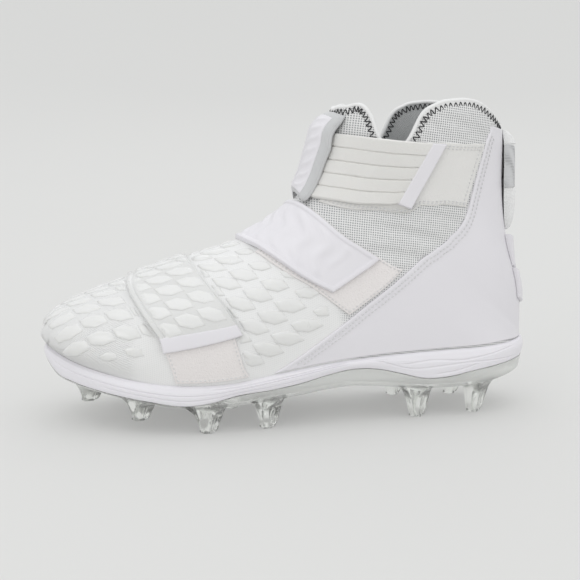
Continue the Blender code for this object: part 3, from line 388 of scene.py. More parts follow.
def section_rows():
    """The sections in metres: top x and z, foot x and z, half widths, ridge, widest, square."""
    rows = []
    for sections, height, width in (
        (TOE_SECTIONS, TOE_HEIGHT, BALL_WIDTH),
        (FOOT_SECTIONS, INSTEP_HEIGHT, BALL_WIDTH),
        (SHAFT_SECTIONS, COLLAR_HEIGHT, ANKLE_WIDTH),
    ):
        for s in sections:
            foot = along(s.foot)
            feather = float(feather_height(foot))
            start = 0.0 if sections is SHAFT_SECTIONS else feather
            low = feather if s.lift is None else start + s.lift * height
            rows.append(
                (along(s.top), start + s.rise * height, foot, low, s.outer * width,
                 s.inner * width, s.ridge * SWING, s.widest, s.square)
            )
    return np.array(rows, float)


ROWS = section_rows()
ON_FEATHER = [k for k, s in enumerate(TOE_SECTIONS + FOOT_SECTIONS + SHAFT_SECTIONS) if s.lift is None]
FIRST_OPEN, LAST_OPEN = ON_FEATHER[0], ON_FEATHER[-1]
JUST_UNDER = 1e-4


def fan_knots():
    """Places of the sections up the fan: the way from middle to middle, and a little for each."""
    middles = (ROWS[:, :2] + ROWS[:, 2:4]) / 2
    ways = np.hypot(*np.diff(middles, axis=0).T) + 0.01 * LENGTH
    knots = np.concatenate([[0], np.cumsum(ways)])
    corner = knots[LAST_OPEN]
    foot = knots * HEEL_CORNER / corner
    shaft = HEEL_CORNER + (knots - corner) * (1 - HEEL_CORNER) / (knots[-1] - corner)
    return np.where(knots <= corner, foot, shaft)


FAN = fan_knots()
OPEN_FROM, OPEN_TO = FAN[FIRST_OPEN], FAN[LAST_OPEN]


def feet_meet(up):
    """Whether the two feet of the sections there meet: under the toe and up the back."""
    return (up < OPEN_FROM - JUST_UNDER / 2) | (up > OPEN_TO - JUST_UNDER / 2)


def half_section(up, side, count):
    """Points of one side of the sections, from foot to ridge, as rows of count points.

    Below the widest level the side is an arc of an ellipse that starts at the feather line.
    Above it is a superellipse up to the ridge.
    """
    heel = [LAST_OPEN if name in ("foot", "lift") else None for name in Section._fields]
    top, rise, foot, low, outer, inner, ridge, widest, square = (
        smooth(FAN, ROWS[:, k], up, corner)[:, None] for k, corner in enumerate(heel)
    )
    full = outer if side == OUTER else inner
    meet = feet_meet(up)[:, None]
    low = np.where(meet, low, feather_height(foot))
    base = np.where(meet, 0, (outline(foot, side) - ridge) * side)
    full = np.maximum(full, base / WIDEST_BASE)
    reach = np.arccos(np.clip(base / np.maximum(full, 1e-6), 0, WIDEST_BASE))
    half = count // 2
    fall = np.linspace(1, 0, half + 1)[None] * reach
    climb = np.linspace(0, np.pi / 2, count - half)[None, 1:]
    under = widest * (1 - np.sin(fall) / np.sin(reach))
    over = widest + (1 - widest) * np.sin(climb) ** (2 / square)
    share = np.concatenate([under, over], 1)
    width = np.concatenate([np.cos(fall), np.cos(climb) ** (2 / square)], 1)
    return np.stack(
        [foot + (top - foot) * share, ridge + side * full * width, low + (rise - low) * share], -1
    )


def spaced(points, count):
    """The rows of points read again at even steps along each row."""
    steps = np.linalg.norm(np.diff(points, axis=1), axis=2) + 1e-9
    way = np.concatenate([np.zeros((len(points), 1)), np.cumsum(steps, 1)], 1)
    way /= way[:, -1:]
    even = np.linspace(0, 1, count)
    rows = [[np.interp(even, w, p[:, k]) for k in range(3)] for w, p in zip(way, points)]
    return np.array(rows).transpose(0, 2, 1)


FORM_UP = np.unique(np.concatenate([np.linspace(0, 1, 481), [OPEN_FROM - JUST_UNDER], FAN]))


def form_table(columns=161):
    """The boot as a table: rows up the fan, columns round from the outer to the inner foot."""
    outer, inner = (spaced(half_section(FORM_UP, side, 193), columns) for side in (OUTER, INNER))
    return np.concatenate([outer, inner[:, ::-1][:, 1:]], 1)


def read_table(table, up, round_):
    """Points of a table of the boot, read between its places."""
    up = np.clip(up, 0, 1)
    b = np.clip(round_, 0, 1) * (table.shape[1] - 1)
    i = np.clip(np.searchsorted(FORM_UP, up, side="right") - 1, 0, len(FORM_UP) - 2)
    j = np.minimum(b.astype(int), table.shape[1] - 2)
    s = ((up - FORM_UP[i]) / (FORM_UP[i + 1] - FORM_UP[i]))[..., None]
    t = (b - j)[..., None]
    near = table[i, j] * (1 - t) + table[i, j + 1] * t
    far = table[i + 1, j] * (1 - t) + table[i + 1, j + 1] * t
    return near * (1 - s) + far * s


def eased_table(table):
    """The table with the sections' turn at the heel's corner spread out, except at the feet."""
    round_ = np.linspace(0, 1, table.shape[1])[None]
    from_feet = np.clip(4 * np.minimum(round_, 1 - round_), 0, 1)
    near = np.exp(-(((FORM_UP - OPEN_TO) / (2 * CORNER_EASE)) ** 2))[:, None]
    shares = np.linspace(-0.8, 0.8, 9)
    weights = 1 - np.abs(shares)
    moves = CORNER_EASE * near * from_feet
    points = [read_table(table, FORM_UP[:, None] + share * moves, round_) for share in shares]
    return np.average(points, axis=0, weights=weights)


FORM = eased_table(form_table())


def on_form(up, round_):
    """Points of the boot, read between the places of its table."""
    return read_table(FORM, up, round_)


def surface(up, round_, out=0.0):
    """Points of the boot, moved out along its normal, which wraps round where the feet meet."""
    up, round_, out = np.broadcast_arrays(*(np.asarray(a, float) for a in (up, round_, out)))
    step = 0.006
    ahead, behind = round_ + step, round_ - step
    wraps = feet_meet(up)
    ahead = np.where(wraps, ahead % 1, np.minimum(ahead, 1))
    behind = np.where(wraps, behind % 1, np.maximum(behind, 0))
    above = np.where(wraps & (up < OPEN_FROM), np.minimum(up + step, OPEN_FROM - JUST_UNDER), up + step)
    below = np.where(wraps & (up > OPEN_FROM), np.maximum(up - step, OPEN_TO), up - step)
    upward = on_form(above, round_) - on_form(below, round_)
    onward = on_form(up, ahead) - on_form(up, behind)
    normal = np.cross(upward, onward)
    size = np.linalg.norm(normal, axis=-1, keepdims=True)
    normal = np.where(size > 1e-10, normal / np.maximum(size, 1e-10), (-1.0, 0.0, 0.0))
    return on_form(up, round_) + normal * out[..., None]


def collar_height(round_):
    """How far up the fan the boot reaches, the same on both sides."""
    folded = np.minimum(round_, 1 - round_)
    return smooth(*columns_of(COLLAR), folded)


def sole_stations(count=241):
    """Places along the sole, closer together at the round toe and heel."""
    turn = (1 - np.cos(np.linspace(0, np.pi, count))) / 2
    even = np.linspace(0, 1, count)
    return FEATHER_X[0] + (FEATHER_X[-1] - FEATHER_X[0]) * (0.75 * turn + 0.25 * even)


STATIONS = sole_stations()
RING_X = np.concatenate([STATIONS, STATIONS[-2:0:-1]])
RING_SIDE = np.array([OUTER] * len(STATIONS) + [INNER] * (len(STATIONS) - 2))


def ring_outline():
    """The outline as one closed ring from the toe along the outer side, and its outward normals."""
    y = np.where(RING_SIDE == OUTER, outline(RING_X, OUTER), outline(RING_X, INNER))
    ring = np.stack([RING_X, y], 1)
    tangent = np.roll(ring, -1, 0) - np.roll(ring, 1, 0)
    normal = np.stack([tangent[:, 1], -tangent[:, 0]], 1)
    return ring, normal / np.linalg.norm(normal, axis=1, keepdims=True)


RING, RING_NORMAL = ring_outline()


def near_ends(x, width):
    """How near a place is to the toe and to the heel: two bells of this width."""
    return tuple(np.exp(-(((x - end) / width) ** 2)) for end in FEATHER_X[[0, -1]])


def ledge(x):
    """How far the sole stands out past the feather line, more at the toe and the heel."""
    toe, heel = near_ends(x, 0.10 * LENGTH)
    return LEDGE_SIDE + (LEDGE_TOE - LEDGE_SIDE) * toe + (LEDGE_HEEL - LEDGE_SIDE) * heel


def sole_ring(out, height):
    """A ring round the sole, out past the feather line by its own amount at each point."""
    return np.column_stack([RING + RING_NORMAL * np.asarray(out).reshape(-1, 1), height])


def sole_heights(x):
    """Heights of the midsole's white edge and of the plate's clear edge."""
    places, *levels = columns_of(SOLE)
    return tuple(smooth(along(places), level * BALL_LIFT, x) for level in levels)


def plate_edge(x):
    """How far the clear plate stands out past the feather line."""
    return ledge(x) + MIDSOLE_SIDE[-1].bulge * SIDE_BULGE


def step_rings(x, gap):
    """The stepped surface where plate and midsole meet, gap over the plate's own: its rings."""
    white, clear = sole_heights(x)
    edge = plate_edge(x)
    rim = white - CLEARANCE
    floor = clear + PLATE_THICKNESS
    steep = np.hypot(1, (rim - floor) / RIM_SLOPE)
    return [
        sole_ring(edge, rim + gap),
        sole_ring(edge - RIM_WIDTH, rim + gap),
        sole_ring(edge - RIM_WIDTH - RIM_SLOPE, floor + gap * steep),
    ]


def to_solids():
    """The move sideways and along from the form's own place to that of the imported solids."""
    widest = sole_ring(ledge(RING_X) + SIDE_BULGE, 0 * RING_X)
    own = (widest.min(0) + widest.max(0)) / 2
    low, high = (np.array(corner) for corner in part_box("midsole"))
    move = (low + high) / 2 - own
    return np.array([move[0], move[1], 0.0])


SHIFT = to_solids()


# Grids and meshes


def copies(faces, size, count):
    """Faces of so many copies of a grid, each of so many points."""
    return (faces[None] + (size * np.arange(count))[:, None, None]).reshape(-1, 4)


def ramp(value, low, high):
    """Smooth step from 0 at low to 1 at high: three times the square less twice the cube."""
    t = np.clip((value - low) / (high - low), 0, 1)
    return t * t * (3 - 2 * t)


def hump(value, middle, half):
    """Bell from 1 in the middle to 0 at half on either side, a squared cosine."""
    return np.cos(np.clip((value - middle) / half, -1, 1) * np.pi / 2) ** 2


def lengths(points, axis):
    """Way along the rows (axis 0) or the columns (axis 1) of a grid of points, in metres."""
    step = np.linalg.norm(np.diff(points, axis=axis), axis=-1)
    first = np.zeros_like(np.take(step, [0], axis))
    return np.concatenate([first, np.cumsum(step, axis)], axis)


def pairs(u, v):
    """Two grids as a list of pairs."""
    return np.stack([u, v], -1).reshape(-1, 2)


def to_rim(a, b):
    """Distance to the nearest side of a grid, from its ways along rows and columns."""
    return np.minimum(np.minimum(a, a[-1:] - a), np.minimum(b, b[:, -1:] - b))


def rounding(distance, radius):
    """Quarter circle from 0 at the rim to 1 at the radius."""
    return np.sqrt(1 - (1 - np.clip(distance / radius, 0, 1)) ** 2)


def quads(rows, columns, start=0, turned=False):
    """Faces of a grid of rows by columns points, as an array of four corners each."""
    at = start + np.arange(rows * columns).reshape(rows, columns)
    corners = [at[:-1, :-1], at[1:, :-1], at[1:, 1:], at[:-1, 1:]]
    return np.stack(corners[::-1] if turned else corners, -1).reshape(-1, 4)


def two_sided(outside, inside, rims=None):
    """Points and faces between two grids. Rims gives, for each side that needs a wall, which steps.

    A side whose two grids meet needs none: its points are merged.
    """
    rows, columns = outside.shape[:2]
    count = rows * columns
    at = np.arange(count).reshape(rows, columns)
    faces = [quads(rows, columns), quads(rows, columns, count, True)]
    lines = {"low": at[0], "high": at[-1, ::-1], "start": at[::-1, 0], "end": at[:, -1]}
    for side, steps in (rims or {}).items():
        line = lines[side]
        steps = steps[::-1] if side in ("high", "start") else steps
        near, far = line[:-1][steps], line[1:][steps]
        faces.append(np.stack([near, far, far + count, near + count], -1))
    return np.concatenate([outside.reshape(-1, 3), inside.reshape(-1, 3)]), np.concatenate(faces)


def joined(parts):
    """Several pairs of points and faces as one."""
    sizes = np.cumsum([0] + [len(points) for points, _ in parts])
    faces = [faces + size for (_, faces), size in zip(parts, sizes)]
    return np.concatenate([points for points, _ in parts]), np.concatenate(faces)


def mesh_of(name, points, faces, uv=None, values=None):
    """A mesh at the solids' place. A corner that repeats the one before it is left out.

    Uv holds a pair of metres for each point, and values a named number for each point.
    """
    mesh = bpy.data.meshes.new(name)
    kept = faces != np.roll(faces, 1, axis=1)
    faces, kept = faces[kept.sum(1) > 2], kept[kept.sum(1) > 2]
    corners, sizes = faces[kept], kept.sum(1)
    mesh.vertices.add(len(points))
    mesh.vertices.foreach_set("co", (np.asarray(points, float) + SHIFT).ravel())
    mesh.loops.add(len(corners))
    mesh.loops.foreach_set("vertex_index", corners)
    mesh.polygons.add(len(faces))
    mesh.polygons.foreach_set("loop_start", np.cumsum(sizes) - sizes)
    if uv is not None:
        layer = mesh.uv_layers.new(name="Metres")
        layer.data.foreach_set("uv", np.asarray(uv, float)[corners].ravel())
    for key, numbers in (values or {}).items():
        mesh.attributes.new(key, "FLOAT", "POINT").data.foreach_set("value", numbers.ravel())
    mesh.update(calc_edges=True)
    return mesh


def add_piece(name, points, faces, finish, slot, uv=None, replaced=(), sharp=50, values=None):
    """A piece with points that meet merged, riding on the one body."""
    mesh = mesh_of(name, points, faces, uv, values)
    shape = bmesh.new()
    shape.from_mesh(mesh)
    bmesh.ops.remove_doubles(shape, verts=shape.verts, dist=4e-6)
    bmesh.ops.dissolve_degenerate(shape, edges=shape.edges, dist=1e-6)
    shape.to_mesh(mesh)
    shape.free()
    mesh.validate()
    mesh.materials.append(finish)
    mesh.shade_smooth()
    mesh.set_sharp_from_angle(angle=np.radians(sharp))
    piece = bpy.data.objects.new(name, mesh)
    bpy.context.scene.collection.objects.link(piece)
    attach(piece, "root")
    if replaced:
        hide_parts(*replaced)
    return piece


def rimmed(size, rim, count):
    """Shares of a way of this size, with six of them in the round rim at either end."""
    turn = np.linspace(0, np.pi / 2, 7)[:-1]
    near = rim * (1 - np.cos(turn))[:, None] / np.atleast_1d(size)
    between = rim + (size - 2 * rim) * np.linspace(0, 1, count)[:, None]
    return np.concatenate([near, between / size, 1 - near[::-1]])


def pad(place, height, rim=0.0011, rows=40, columns=120, relief=None):
    """Points, faces and uv of a slab on the boot with rounded rims.

    Place gives up, round and lift for shares across and along. The top lies over the bottom
    by the height times a quarter circle of the distance to the rim, plus the relief, which is
    worked out from the shares, the ways across and along and the distance.
    """
    coarse = surface(*place(np.linspace(0, 1, 31)[:, None], np.linspace(0, 1, 91)[None]))
    width, length = lengths(coarse, 0)[-1], lengths(coarse, 1)[15]
    even = rimmed(length[-1], rim, columns)[:, 0]
    b = np.interp(even * length[-1], length, np.linspace(0, 1, 91))
    a = rimmed(np.interp(b, np.linspace(0, 1, 91), width), rim, rows)
    b = b[None] + 0 * a
    up, round_, lift = place(a, b)
    bottom = surface(up, round_, lift)
    across, way = lengths(bottom, 0), lengths(bottom, 1)
    edge = to_rim(across, way)
    rise = (height(a, b) if callable(height) else height) * rounding(edge, rim)
    if relief is not None:
        rise = rise + relief(a, b, across, way, edge) * ramp(edge, 0, rim)
    top = surface(up, round_, lift + rise)
    points, faces = two_sided(top, bottom)
    return points, faces, np.tile(pairs(way, across), (2, 1))


def on_band(table, under=0.0):
    """Place of a strap or patch between its two edges, lifted where it lies on a patch."""
    knots = np.arange(len(table))

    def place(a, b):
        at = b * knots[-1]
        low_up, low_round, high_up, high_round, over = (smooth(knots, c, at) for c in columns_of(table))
        lift = BAND_CLEARANCE - under + np.clip(over, 0, 1) * (PATCH_THICKNESS + BAND_CLEARANCE)
        return low_up + (high_up - low_up) * a, low_round + (high_round - low_round) * a, lift

    return place


def solved(rising, turning, way):
    """The changes of up and round that come nearest to a way, from how the surface runs.

    They are those of least squares: the way's products with both directions, through the
    inverse of their own products.
    """
    a, b, c = (rising * rising).sum(-1), (rising * turning).sum(-1), (turning * turning).sum(-1)
    d, e = (rising * way).sum(-1), (turning * way).sum(-1)
    square = a * c - b * b
    return (c * d - b * e) / square, (a * e - b * d) / square


def nearest(points, up, round_, steps=4):
    """Places up and round of the surface nearest to points, from a first guess, by Newton steps."""
    tiny = 0.001
    for _ in range(steps):
        here = surface(up, round_)
        rising = (surface(up + tiny, round_) - surface(up - tiny, round_)) / (2 * tiny)
        turning = (surface(up, round_ + tiny) - surface(up, round_ - tiny)) / (2 * tiny)
        more_up, more_round = solved(rising, turning, points - here)
        up, round_ = up + more_up, round_ + more_round
    return up, round_


def straight(place):
    """The same place with its ways across laid straight, evenly spaced between the two edges."""
    def straightened(a, b):
        a, b = a + 0 * b, b + 0 * a
        up, round_, lift = place(a, b)
        low, high = (surface(*place(0 * a + end, b)[:2]) for end in (0.0, 1.0))
        up, round_ = nearest(low + (high - low) * a[..., None], up, round_)
        return up, round_, lift
    return straightened


def on_ribs(table, thickness, start, middle=0.5):
    """Place of a plate that stands on the ridge, or down the back with its middle at 0."""
    knots = np.arange(len(table))

    def place(a, b):
        up, half, stand, _ = (smooth(knots, c, a * knots[-1]) for c in columns_of(table))
        return up, (middle + half * (2 * b - 1)) % 1.0, start + stand * thickness

    return place


def tube(path, radius, sides, flat, normal):
    """Points and faces of a tube round a closed path, its section an ellipse flattened along normal."""
    step = np.roll(path, -1, 0) - np.roll(path, 1, 0)
    ahead = step / np.maximum(np.linalg.norm(step, axis=1, keepdims=True), 1e-12)
    side = np.cross(ahead, normal)
    side /= np.maximum(np.linalg.norm(side, axis=1, keepdims=True), 1e-12)
    up = np.cross(side, ahead)
    turn = np.linspace(0, 2 * np.pi, sides + 1)
    ring = np.cos(turn)[None, :, None] * side[:, None] + flat * np.sin(turn)[None, :, None] * up[:, None]
    grid = path[:, None] + ring * radius
    grid = np.concatenate([grid, grid[:1]])
    return grid.reshape(-1, 3), quads(*grid.shape[:2])


def stitch_row(up, round_, lift, pitch, length=0.0019, radius=0.00034):
    """Stitches along a line on the boot: short flattened tubes, one at each pitch."""
    line = surface(up, round_, lift)
    over = surface(up, round_, lift + 0.001) - line
    way = lengths(line[None], 1)[0]
    starts = np.arange(pitch / 2, way[-1] - pitch, pitch)
    shares = np.array([0.0, 0.12, 0.35, 0.65, 0.88, 1.0])
    at = starts[:, None] + shares * length
    dip = (radius * np.array([-1.1, -0.1, 0.5, 0.5, -0.1, -1.1]))[None, :, None]
    path = np.stack([np.interp(at, way, line[:, k]) for k in range(3)], -1)
    normal = np.stack([np.interp(at, way, over[:, k]) for k in range(3)], -1)
    normal /= np.linalg.norm(normal, axis=-1, keepdims=True)
    path = path + normal * dip
    ahead = np.gradient(path, axis=1)
    ahead /= np.linalg.norm(ahead, axis=-1, keepdims=True)
    side = np.cross(ahead, normal)
    turn = np.linspace(0, 2 * np.pi, 7)
    size = radius * np.array([0.02, 0.8, 1.0, 1.0, 0.8, 0.02])[None, :, None, None]
    ring = np.cos(turn)[:, None] * side[:, :, None] + 0.8 * np.sin(turn)[:, None] * normal[:, :, None]
    grid = path[:, :, None] + ring * size
    rows, columns = grid.shape[1:3]
    return grid.reshape(-1, 3), copies(quads(rows, columns), rows * columns, len(starts))


# Finishes


class Finish:
    """A Principled material whose nodes are added one after another."""

    def __init__(self, name, colour, roughness, **sockets):
        self.material = bpy.data.materials.new(name)
        self.material.use_nodes = True
        self.tree = self.material.node_tree
        self.shader = self.tree.nodes["Principled BSDF"]
        self.shader.inputs["Base Color"].default_value = (*colour, 1)
        self.shader.inputs["Roughness"].default_value = roughness
        for key, value in sockets.items():
            self.shader.inputs[key.replace("_", " ")].default_value = value

    def node(self, kind, inputs=(), **settings):
        """A new node. Inputs are pairs of a socket's name or number and a value or a socket."""
        made = self.tree.nodes.new("ShaderNode" + kind)
        for key, value in settings.items():
            setattr(made, key, value)
        for key, value in inputs:
            if isinstance(value, bpy.types.NodeSocket):
                self.tree.links.new(value, made.inputs[key])
            else:
                made.inputs[key].default_value = value
        return made

    def sum(self, operation, a, b=0.0, c=0.0):
        """The result of a Math node."""
        return self.node("Math", ((0, a), (1, b), (2, c)), operation=operation).outputs[0]

    def metres(self):
        """The piece's own ways along and across, in metres."""
        return self.node("UVMap", uv_map="Metres").outputs[0]

    def place(self):
        """Object coordinates."""
        return self.node("TexCoord").outputs["Object"]

    def parts(self, vector):
        """The X, Y and Z of a vector."""
        return self.node("SeparateXYZ", ((0, vector),)).outputs

    def noise(self, vector, scale, detail=3.0, roughness=0.55):
        """Noise with scale cells to the metre."""
        inputs = (("Vector", vector), ("Scale", scale), ("Detail", detail), ("Roughness", roughness))
        return self.node("TexNoise", inputs).outputs["Fac"]

    def wave(self, value, pitch):
        """The size of the sine of pi times the value in pitches: 0 at each line, 1 between."""
        return self.sum("ABSOLUTE", self.sum("SINE", self.sum("MULTIPLY", value, np.pi / pitch)))

    def span(self, value, low, high, start=0.0, stop=1.0):
        """Smooth step from start at low to stop at high."""
        inputs = (("Value", value), (1, low), (2, high), (3, start), (4, stop))
        return self.node("MapRange", inputs, interpolation_type="SMOOTHSTEP").outputs[0]

    def colour(self, share, first, second):
        """Paints the surface with a mix of two colours."""
        inputs = ((0, share), (6, (*first, 1)), (7, (*second, 1)))
        made = self.node("Mix", inputs, data_type="RGBA")
        self.tree.links.new(made.outputs[2], self.shader.inputs["Base Color"])
        return made.outputs[2]

    def rough(self, share, first, second):
        """Lets the roughness go from the first to the second."""
        self.tree.links.new(self.span(share, 0.0, 1.0, first, second), self.shader.inputs["Roughness"])

    def bump(self, height, depth, strength=1.0):
        """Bump of a height from 0 to 1, as deep as depth in metres, over the bumps before it."""
        before = self.shader.inputs["Normal"].links
        inputs = [("Height", height), ("Distance", depth), ("Strength", strength)]
        if before:
            inputs.append(("Normal", before[0].from_socket))
        made = self.node("Bump", inputs)
        self.tree.links.new(made.outputs[0], self.shader.inputs["Normal"])


# Knit: from one hole, eyelet or rib to the next, and the colour painted in the holes: the grey lining seen
# through them, darkened further by painted shade
HOLE_PITCH = 0.0014
EYELET_PITCH = 0.0013
RIB_PITCH = 0.0011
HOLE_LINING_AND_SHADE = (0.36, 0.365, 0.375)


def knit_finish(look):
    """Knit: ribs on the toe, small eyelets on the foot and a grid of holes at the ankle, both painted a dark
    grey: the lining's grey with painted shade.
    """
    f = Finish("white_knit", look.knit, 0.62, Sheen_Weight=0.25, Sheen_Roughness=0.5)
    ankle = f.node("Attribute", attribute_name="ankle").outputs["Fac"]
    toe = f.node("Attribute", attribute_name="toe").outputs["Fac"]
    place = f.place()
    stir = f.noise(place, 90.0, 2.0)
    x, _, z = f.parts(place)
    shift = f.sum("MULTIPLY", f.sum("SUBTRACT", stir, 0.5), 0.0007)
    slanted = f.sum("ADD", f.sum("ADD", z, f.sum("MULTIPLY", x, 0.12)), shift)
    across = f.sum("ADD", f.sum("SUBTRACT", x, f.sum("MULTIPLY", z, 0.10)), shift)
    holes = f.sum("MULTIPLY", f.wave(slanted, HOLE_PITCH), f.wave(across, HOLE_PITCH))
    patchy = f.span(f.noise(place, 260.0, 2.0), 0.30, 0.50, 0.70, 1.0)
    hole = f.sum("MULTIPLY", f.sum("MULTIPLY", f.span(holes, 0.50, 0.74), patchy), ankle)
    u, v, _ = f.parts(f.metres())
    eyelets = f.sum("MULTIPLY", f.wave(u, EYELET_PITCH), f.wave(v, EYELET_PITCH))
    foot = f.sum("SUBTRACT", 1.0, f.sum("MAXIMUM", ankle, toe))
    eyelet = f.sum("MULTIPLY", f.span(eyelets, 0.55, 0.95), f.sum("MULTIPLY", foot, 0.16))
    ribs = f.sum("MULTIPLY", f.wave(f.sum("ADD", u, shift), RIB_PITCH), toe)
    # Holes and eyelets take a dark grey: the lining seen through them, made darker than the lining itself by
    # painted shade
    f.colour(f.sum("MAXIMUM", hole, eyelet), look.knit, HOLE_LINING_AND_SHADE)
    f.bump(f.sum("SUBTRACT", 1.0, hole), 0.0006)
    f.bump(f.sum("SUBTRACT", 1.0, eyelet), 0.0004)
    f.bump(ribs, 0.00025)
    f.bump(stir, 0.0006, 0.5)
    return f.material


def scale_finish(name, colour):
    """Soft clear coating over the knit: glossy, milky, with a fine grain and slow waves."""
    f = Finish(name, colour, 0.30, Coat_Weight=0.6, Coat_Roughness=0.12)
    f.shader.inputs["Subsurface Weight"].default_value = 0.15
    f.shader.inputs["Subsurface Radius"].default_value = (0.002, 0.002, 0.0018)
    place = f.place()
    cloud = f.noise(place, 140.0, 3.0)
    f.rough(cloud, 0.22, 0.44)
    f.bump(cloud, 0.0009, 0.5)
    f.bump(f.noise(place, 1500.0, 2.0), 0.00008)
    return f.material


def smooth_finish(name, colour, roughness=0.36, grain=0.00006):
    """Coated synthetic leather: slow clouds in its gloss, slight waves and a fine grain."""
    f = Finish(name, colour, roughness, Coat_Weight=0.08, Coat_Roughness=0.3)
    place = f.place()
    f.rough(f.noise(place, 60.0, 3.0), roughness - 0.06, roughness + 0.08)
    f.bump(f.noise(place, 2200.0, 2.0), grain)
    f.bump(f.noise(place, 45.0, 1.0), 0.0008, 0.35)
    return f.material


def foam_finish(look):
    """Moulded foam with a painted skin: very fine pebbles and faint clouds."""
    f = Finish("white_foam", look.foam, 0.48)
    place = f.place()
    f.colour(f.noise(place, 25.0, 3.0), look.foam, tuple(0.975 * c for c in look.foam))
    f.bump(f.noise(place, 1800.0, 2.0), 0.00010)
    f.bump(f.noise(place, 160.0, 2.0), 0.0003, 0.4)
    return f.material


def clear_finish(look):
    """Clear moulded plastic, milkier from the studs up to the plate, with slow flow waves."""
    f = Finish("clear_plastic", look.plastic, 0.16, IOR=1.46)
    place = f.place()
    _, _, height = f.parts(place)
    clear = f.span(height, 0.016, 0.030, 0.93, 0.40)
    f.tree.links.new(clear, f.shader.inputs["Transmission Weight"])
    f.rough(f.noise(place, 120.0, 3.0), 0.06, 0.20)
    f.bump(f.noise(place, 70.0, 2.0), 0.0004, 0.3)
    return f.material


def woven_finish(name, colour, pitch=0.0009, depth=0.00030, dark=0.86, roughness=0.8):
    """Plain weave: threads that cross at the pitch, with painted shade in the gaps between them, and slubs of
    random tone.
    """
    f = Finish(name, colour, roughness, Sheen_Weight=0.3, Sheen_Roughness=0.5)
    u, v, _ = f.parts(f.metres())
    warp, weft = f.wave(u, pitch), f.wave(v, pitch * 0.8)
    threads = f.sum("MAXIMUM", f.sum("MULTIPLY", warp, 0.9), weft)
    slub = f.noise(f.metres(), 700.0, 2.0)
    gap = f.span(f.sum("ADD", threads, f.sum("MULTIPLY", slub, 0.3)), 0.35, 0.95)
    # The gaps between threads get the colour times dark: painted shade in the gaps; the slubs vary it at
    # random
    f.colour(gap, tuple(dark * c for c in colour), colour)
    f.bump(threads, depth)
    f.bump(slub, 0.0002)
    return f.material


def fleece_finish(name, colour, depth=0.00022):
    """Loop pile: small tufts, seen as a soft grain with sheen."""
    f = Finish(name, colour, 0.95, Sheen_Weight=0.5, Sheen_Roughness=0.6)
    place = f.place()
    tufts = f.node("TexVoronoi", (("Vector", place), ("Scale", 1100.0))).outputs["Distance"]
    grain = f.noise(place, 900.0, 3.0)
    f.colour(f.noise(place, 90.0, 4.0), tuple(0.97 * c for c in colour), colour)
    f.bump(f.sum("SUBTRACT", 1.0, tufts), depth)
    f.bump(grain, depth)
    return f.material


def thread_finish(name, colour):
    """Sewing thread: matt, with a fine twist."""
    f = Finish(name, colour, 0.75, Sheen_Weight=0.2)
    f.bump(f.noise(f.place(), 2500.0, 1.0), 0.00008)
    return f.material


def plain_finish(name, colour, glow):
    """The matt floor, with a trace of cloudiness and an even glow that keeps its shadows soft."""
    f = Finish(name, colour, 0.9, Emission_Color=(1.0, 1.0, 0.99, 1), Emission_Strength=glow)
    f.colour(f.noise(f.place(), 1.5, 2.0), colour, tuple(0.985 * c for c in colour))
    return f.material


# Boot and collar


# Soft creases round the ankle: from up and round to up and round, with half width and depth.
Crease = namedtuple("Crease", "up round to_up to_round half depth")
CREASES = table_of(
    Crease, (0.958, 0.232, 0.944, 0.110, 0.0050, 0.0007), (0.944, 0.279, 0.937, 0.237, 0.0035, 0.0006),
    (0.758, 0.289, 0.805, 0.189, 0.0045, 0.0007), (0.657, 0.307, 0.740, 0.238, 0.0050, 0.0009),
    (0.614, 0.263, 0.698, 0.210, 0.0050, 0.0008), (0.561, 0.387, 0.582, 0.357, 0.0040, 0.0006),
    (0.640, 0.700, 0.730, 0.770, 0.0055, 0.0009), (0.690, 0.660, 0.770, 0.730, 0.0050, 0.0008),
    (0.955, 0.770, 0.945, 0.880, 0.0050, 0.0007),
)


def crease_relief(points):
    """Depth of the creases: a bell of the distance to each, fading at its two ends."""
    depth = np.zeros(points.shape[:-1])
    for c in CREASES:
        ends = surface(np.array([c.up, c.to_up]), np.array([c.round, c.to_round]))
        way = ends[1] - ends[0]
        share = ((points - ends[0]) @ way) / (way @ way)
        near = ends[0] + np.clip(share, 0, 1)[..., None] * way
        apart = np.linalg.norm(points - near, axis=-1)
        fade = ramp(share, -0.25, 0.3) * (1 - ramp(share, 0.7, 1.25))
        depth += c.depth * hump(apart, 0, c.half) * fade
        depth -= 0.6 * c.depth * hump(apart, c.half, 0.7 * c.half) * fade
    return depth


def boot_grid(low_rows, shaft_rows, columns):
    """Places up and round all over the boot, with rows that follow the edge of the collar."""
    round_ = np.linspace(0, 1, columns)[None]
    low = np.concatenate([[0.0, 0.004], np.linspace(OPEN_FROM - JUST_UNDER, OPEN_TO, low_rows)])[:, None]
    share = np.linspace(0, 1, shaft_rows)[1:, None]
    high = OPEN_TO + share * (collar_height(round_) - OPEN_TO)
    return np.concatenate([low + 0 * round_, high]), round_ + 0 * np.zeros((len(low) + len(share), 1))


def boot_wall(up, round_, outer_lift, inner_lift):
    """Points and faces of a wall of the boot, closed at the collar and along the feather line."""
    apart = ~(feet_meet(up[:-1, 0]) & feet_meet(up[1:, 0]))
    every = np.ones(up.shape[1] - 1, bool)
    outside, inside = surface(up, round_, outer_lift), surface(up, round_, inner_lift)
    rows = np.flatnonzero(np.append(apart, False) | np.append(False, apart))
    for side in (0, -1):
        inside[rows, side, 2] = np.maximum(inside[rows, side, 2], outside[rows, side, 2])
    return two_sided(outside, inside, {"high": every, "start": apart, "end": apart})


# Rows below the heel's corner, rows above it and columns of the skin's and lining's grids
SKIN_GRID = (150, 46, 201)
LINING_GRID = (80, 30, 121)
# The padded flap at the back: its middle and half width round the girth, and its rise up the fan
FLAP_MIDDLE = 0.18
FLAP_HALF = 0.11
FLAP_RISE = (0.86, 0.93)
# Where the ankle's knit with its holes begins, where the toe's ribs end, up the fan, and how
# far below the collar's edge the holes begin
ANKLE_KNIT = (0.515, 0.535)
TOE_KNIT = (0.17, 0.20)
PLAIN_EDGE = (0.004, 0.010)


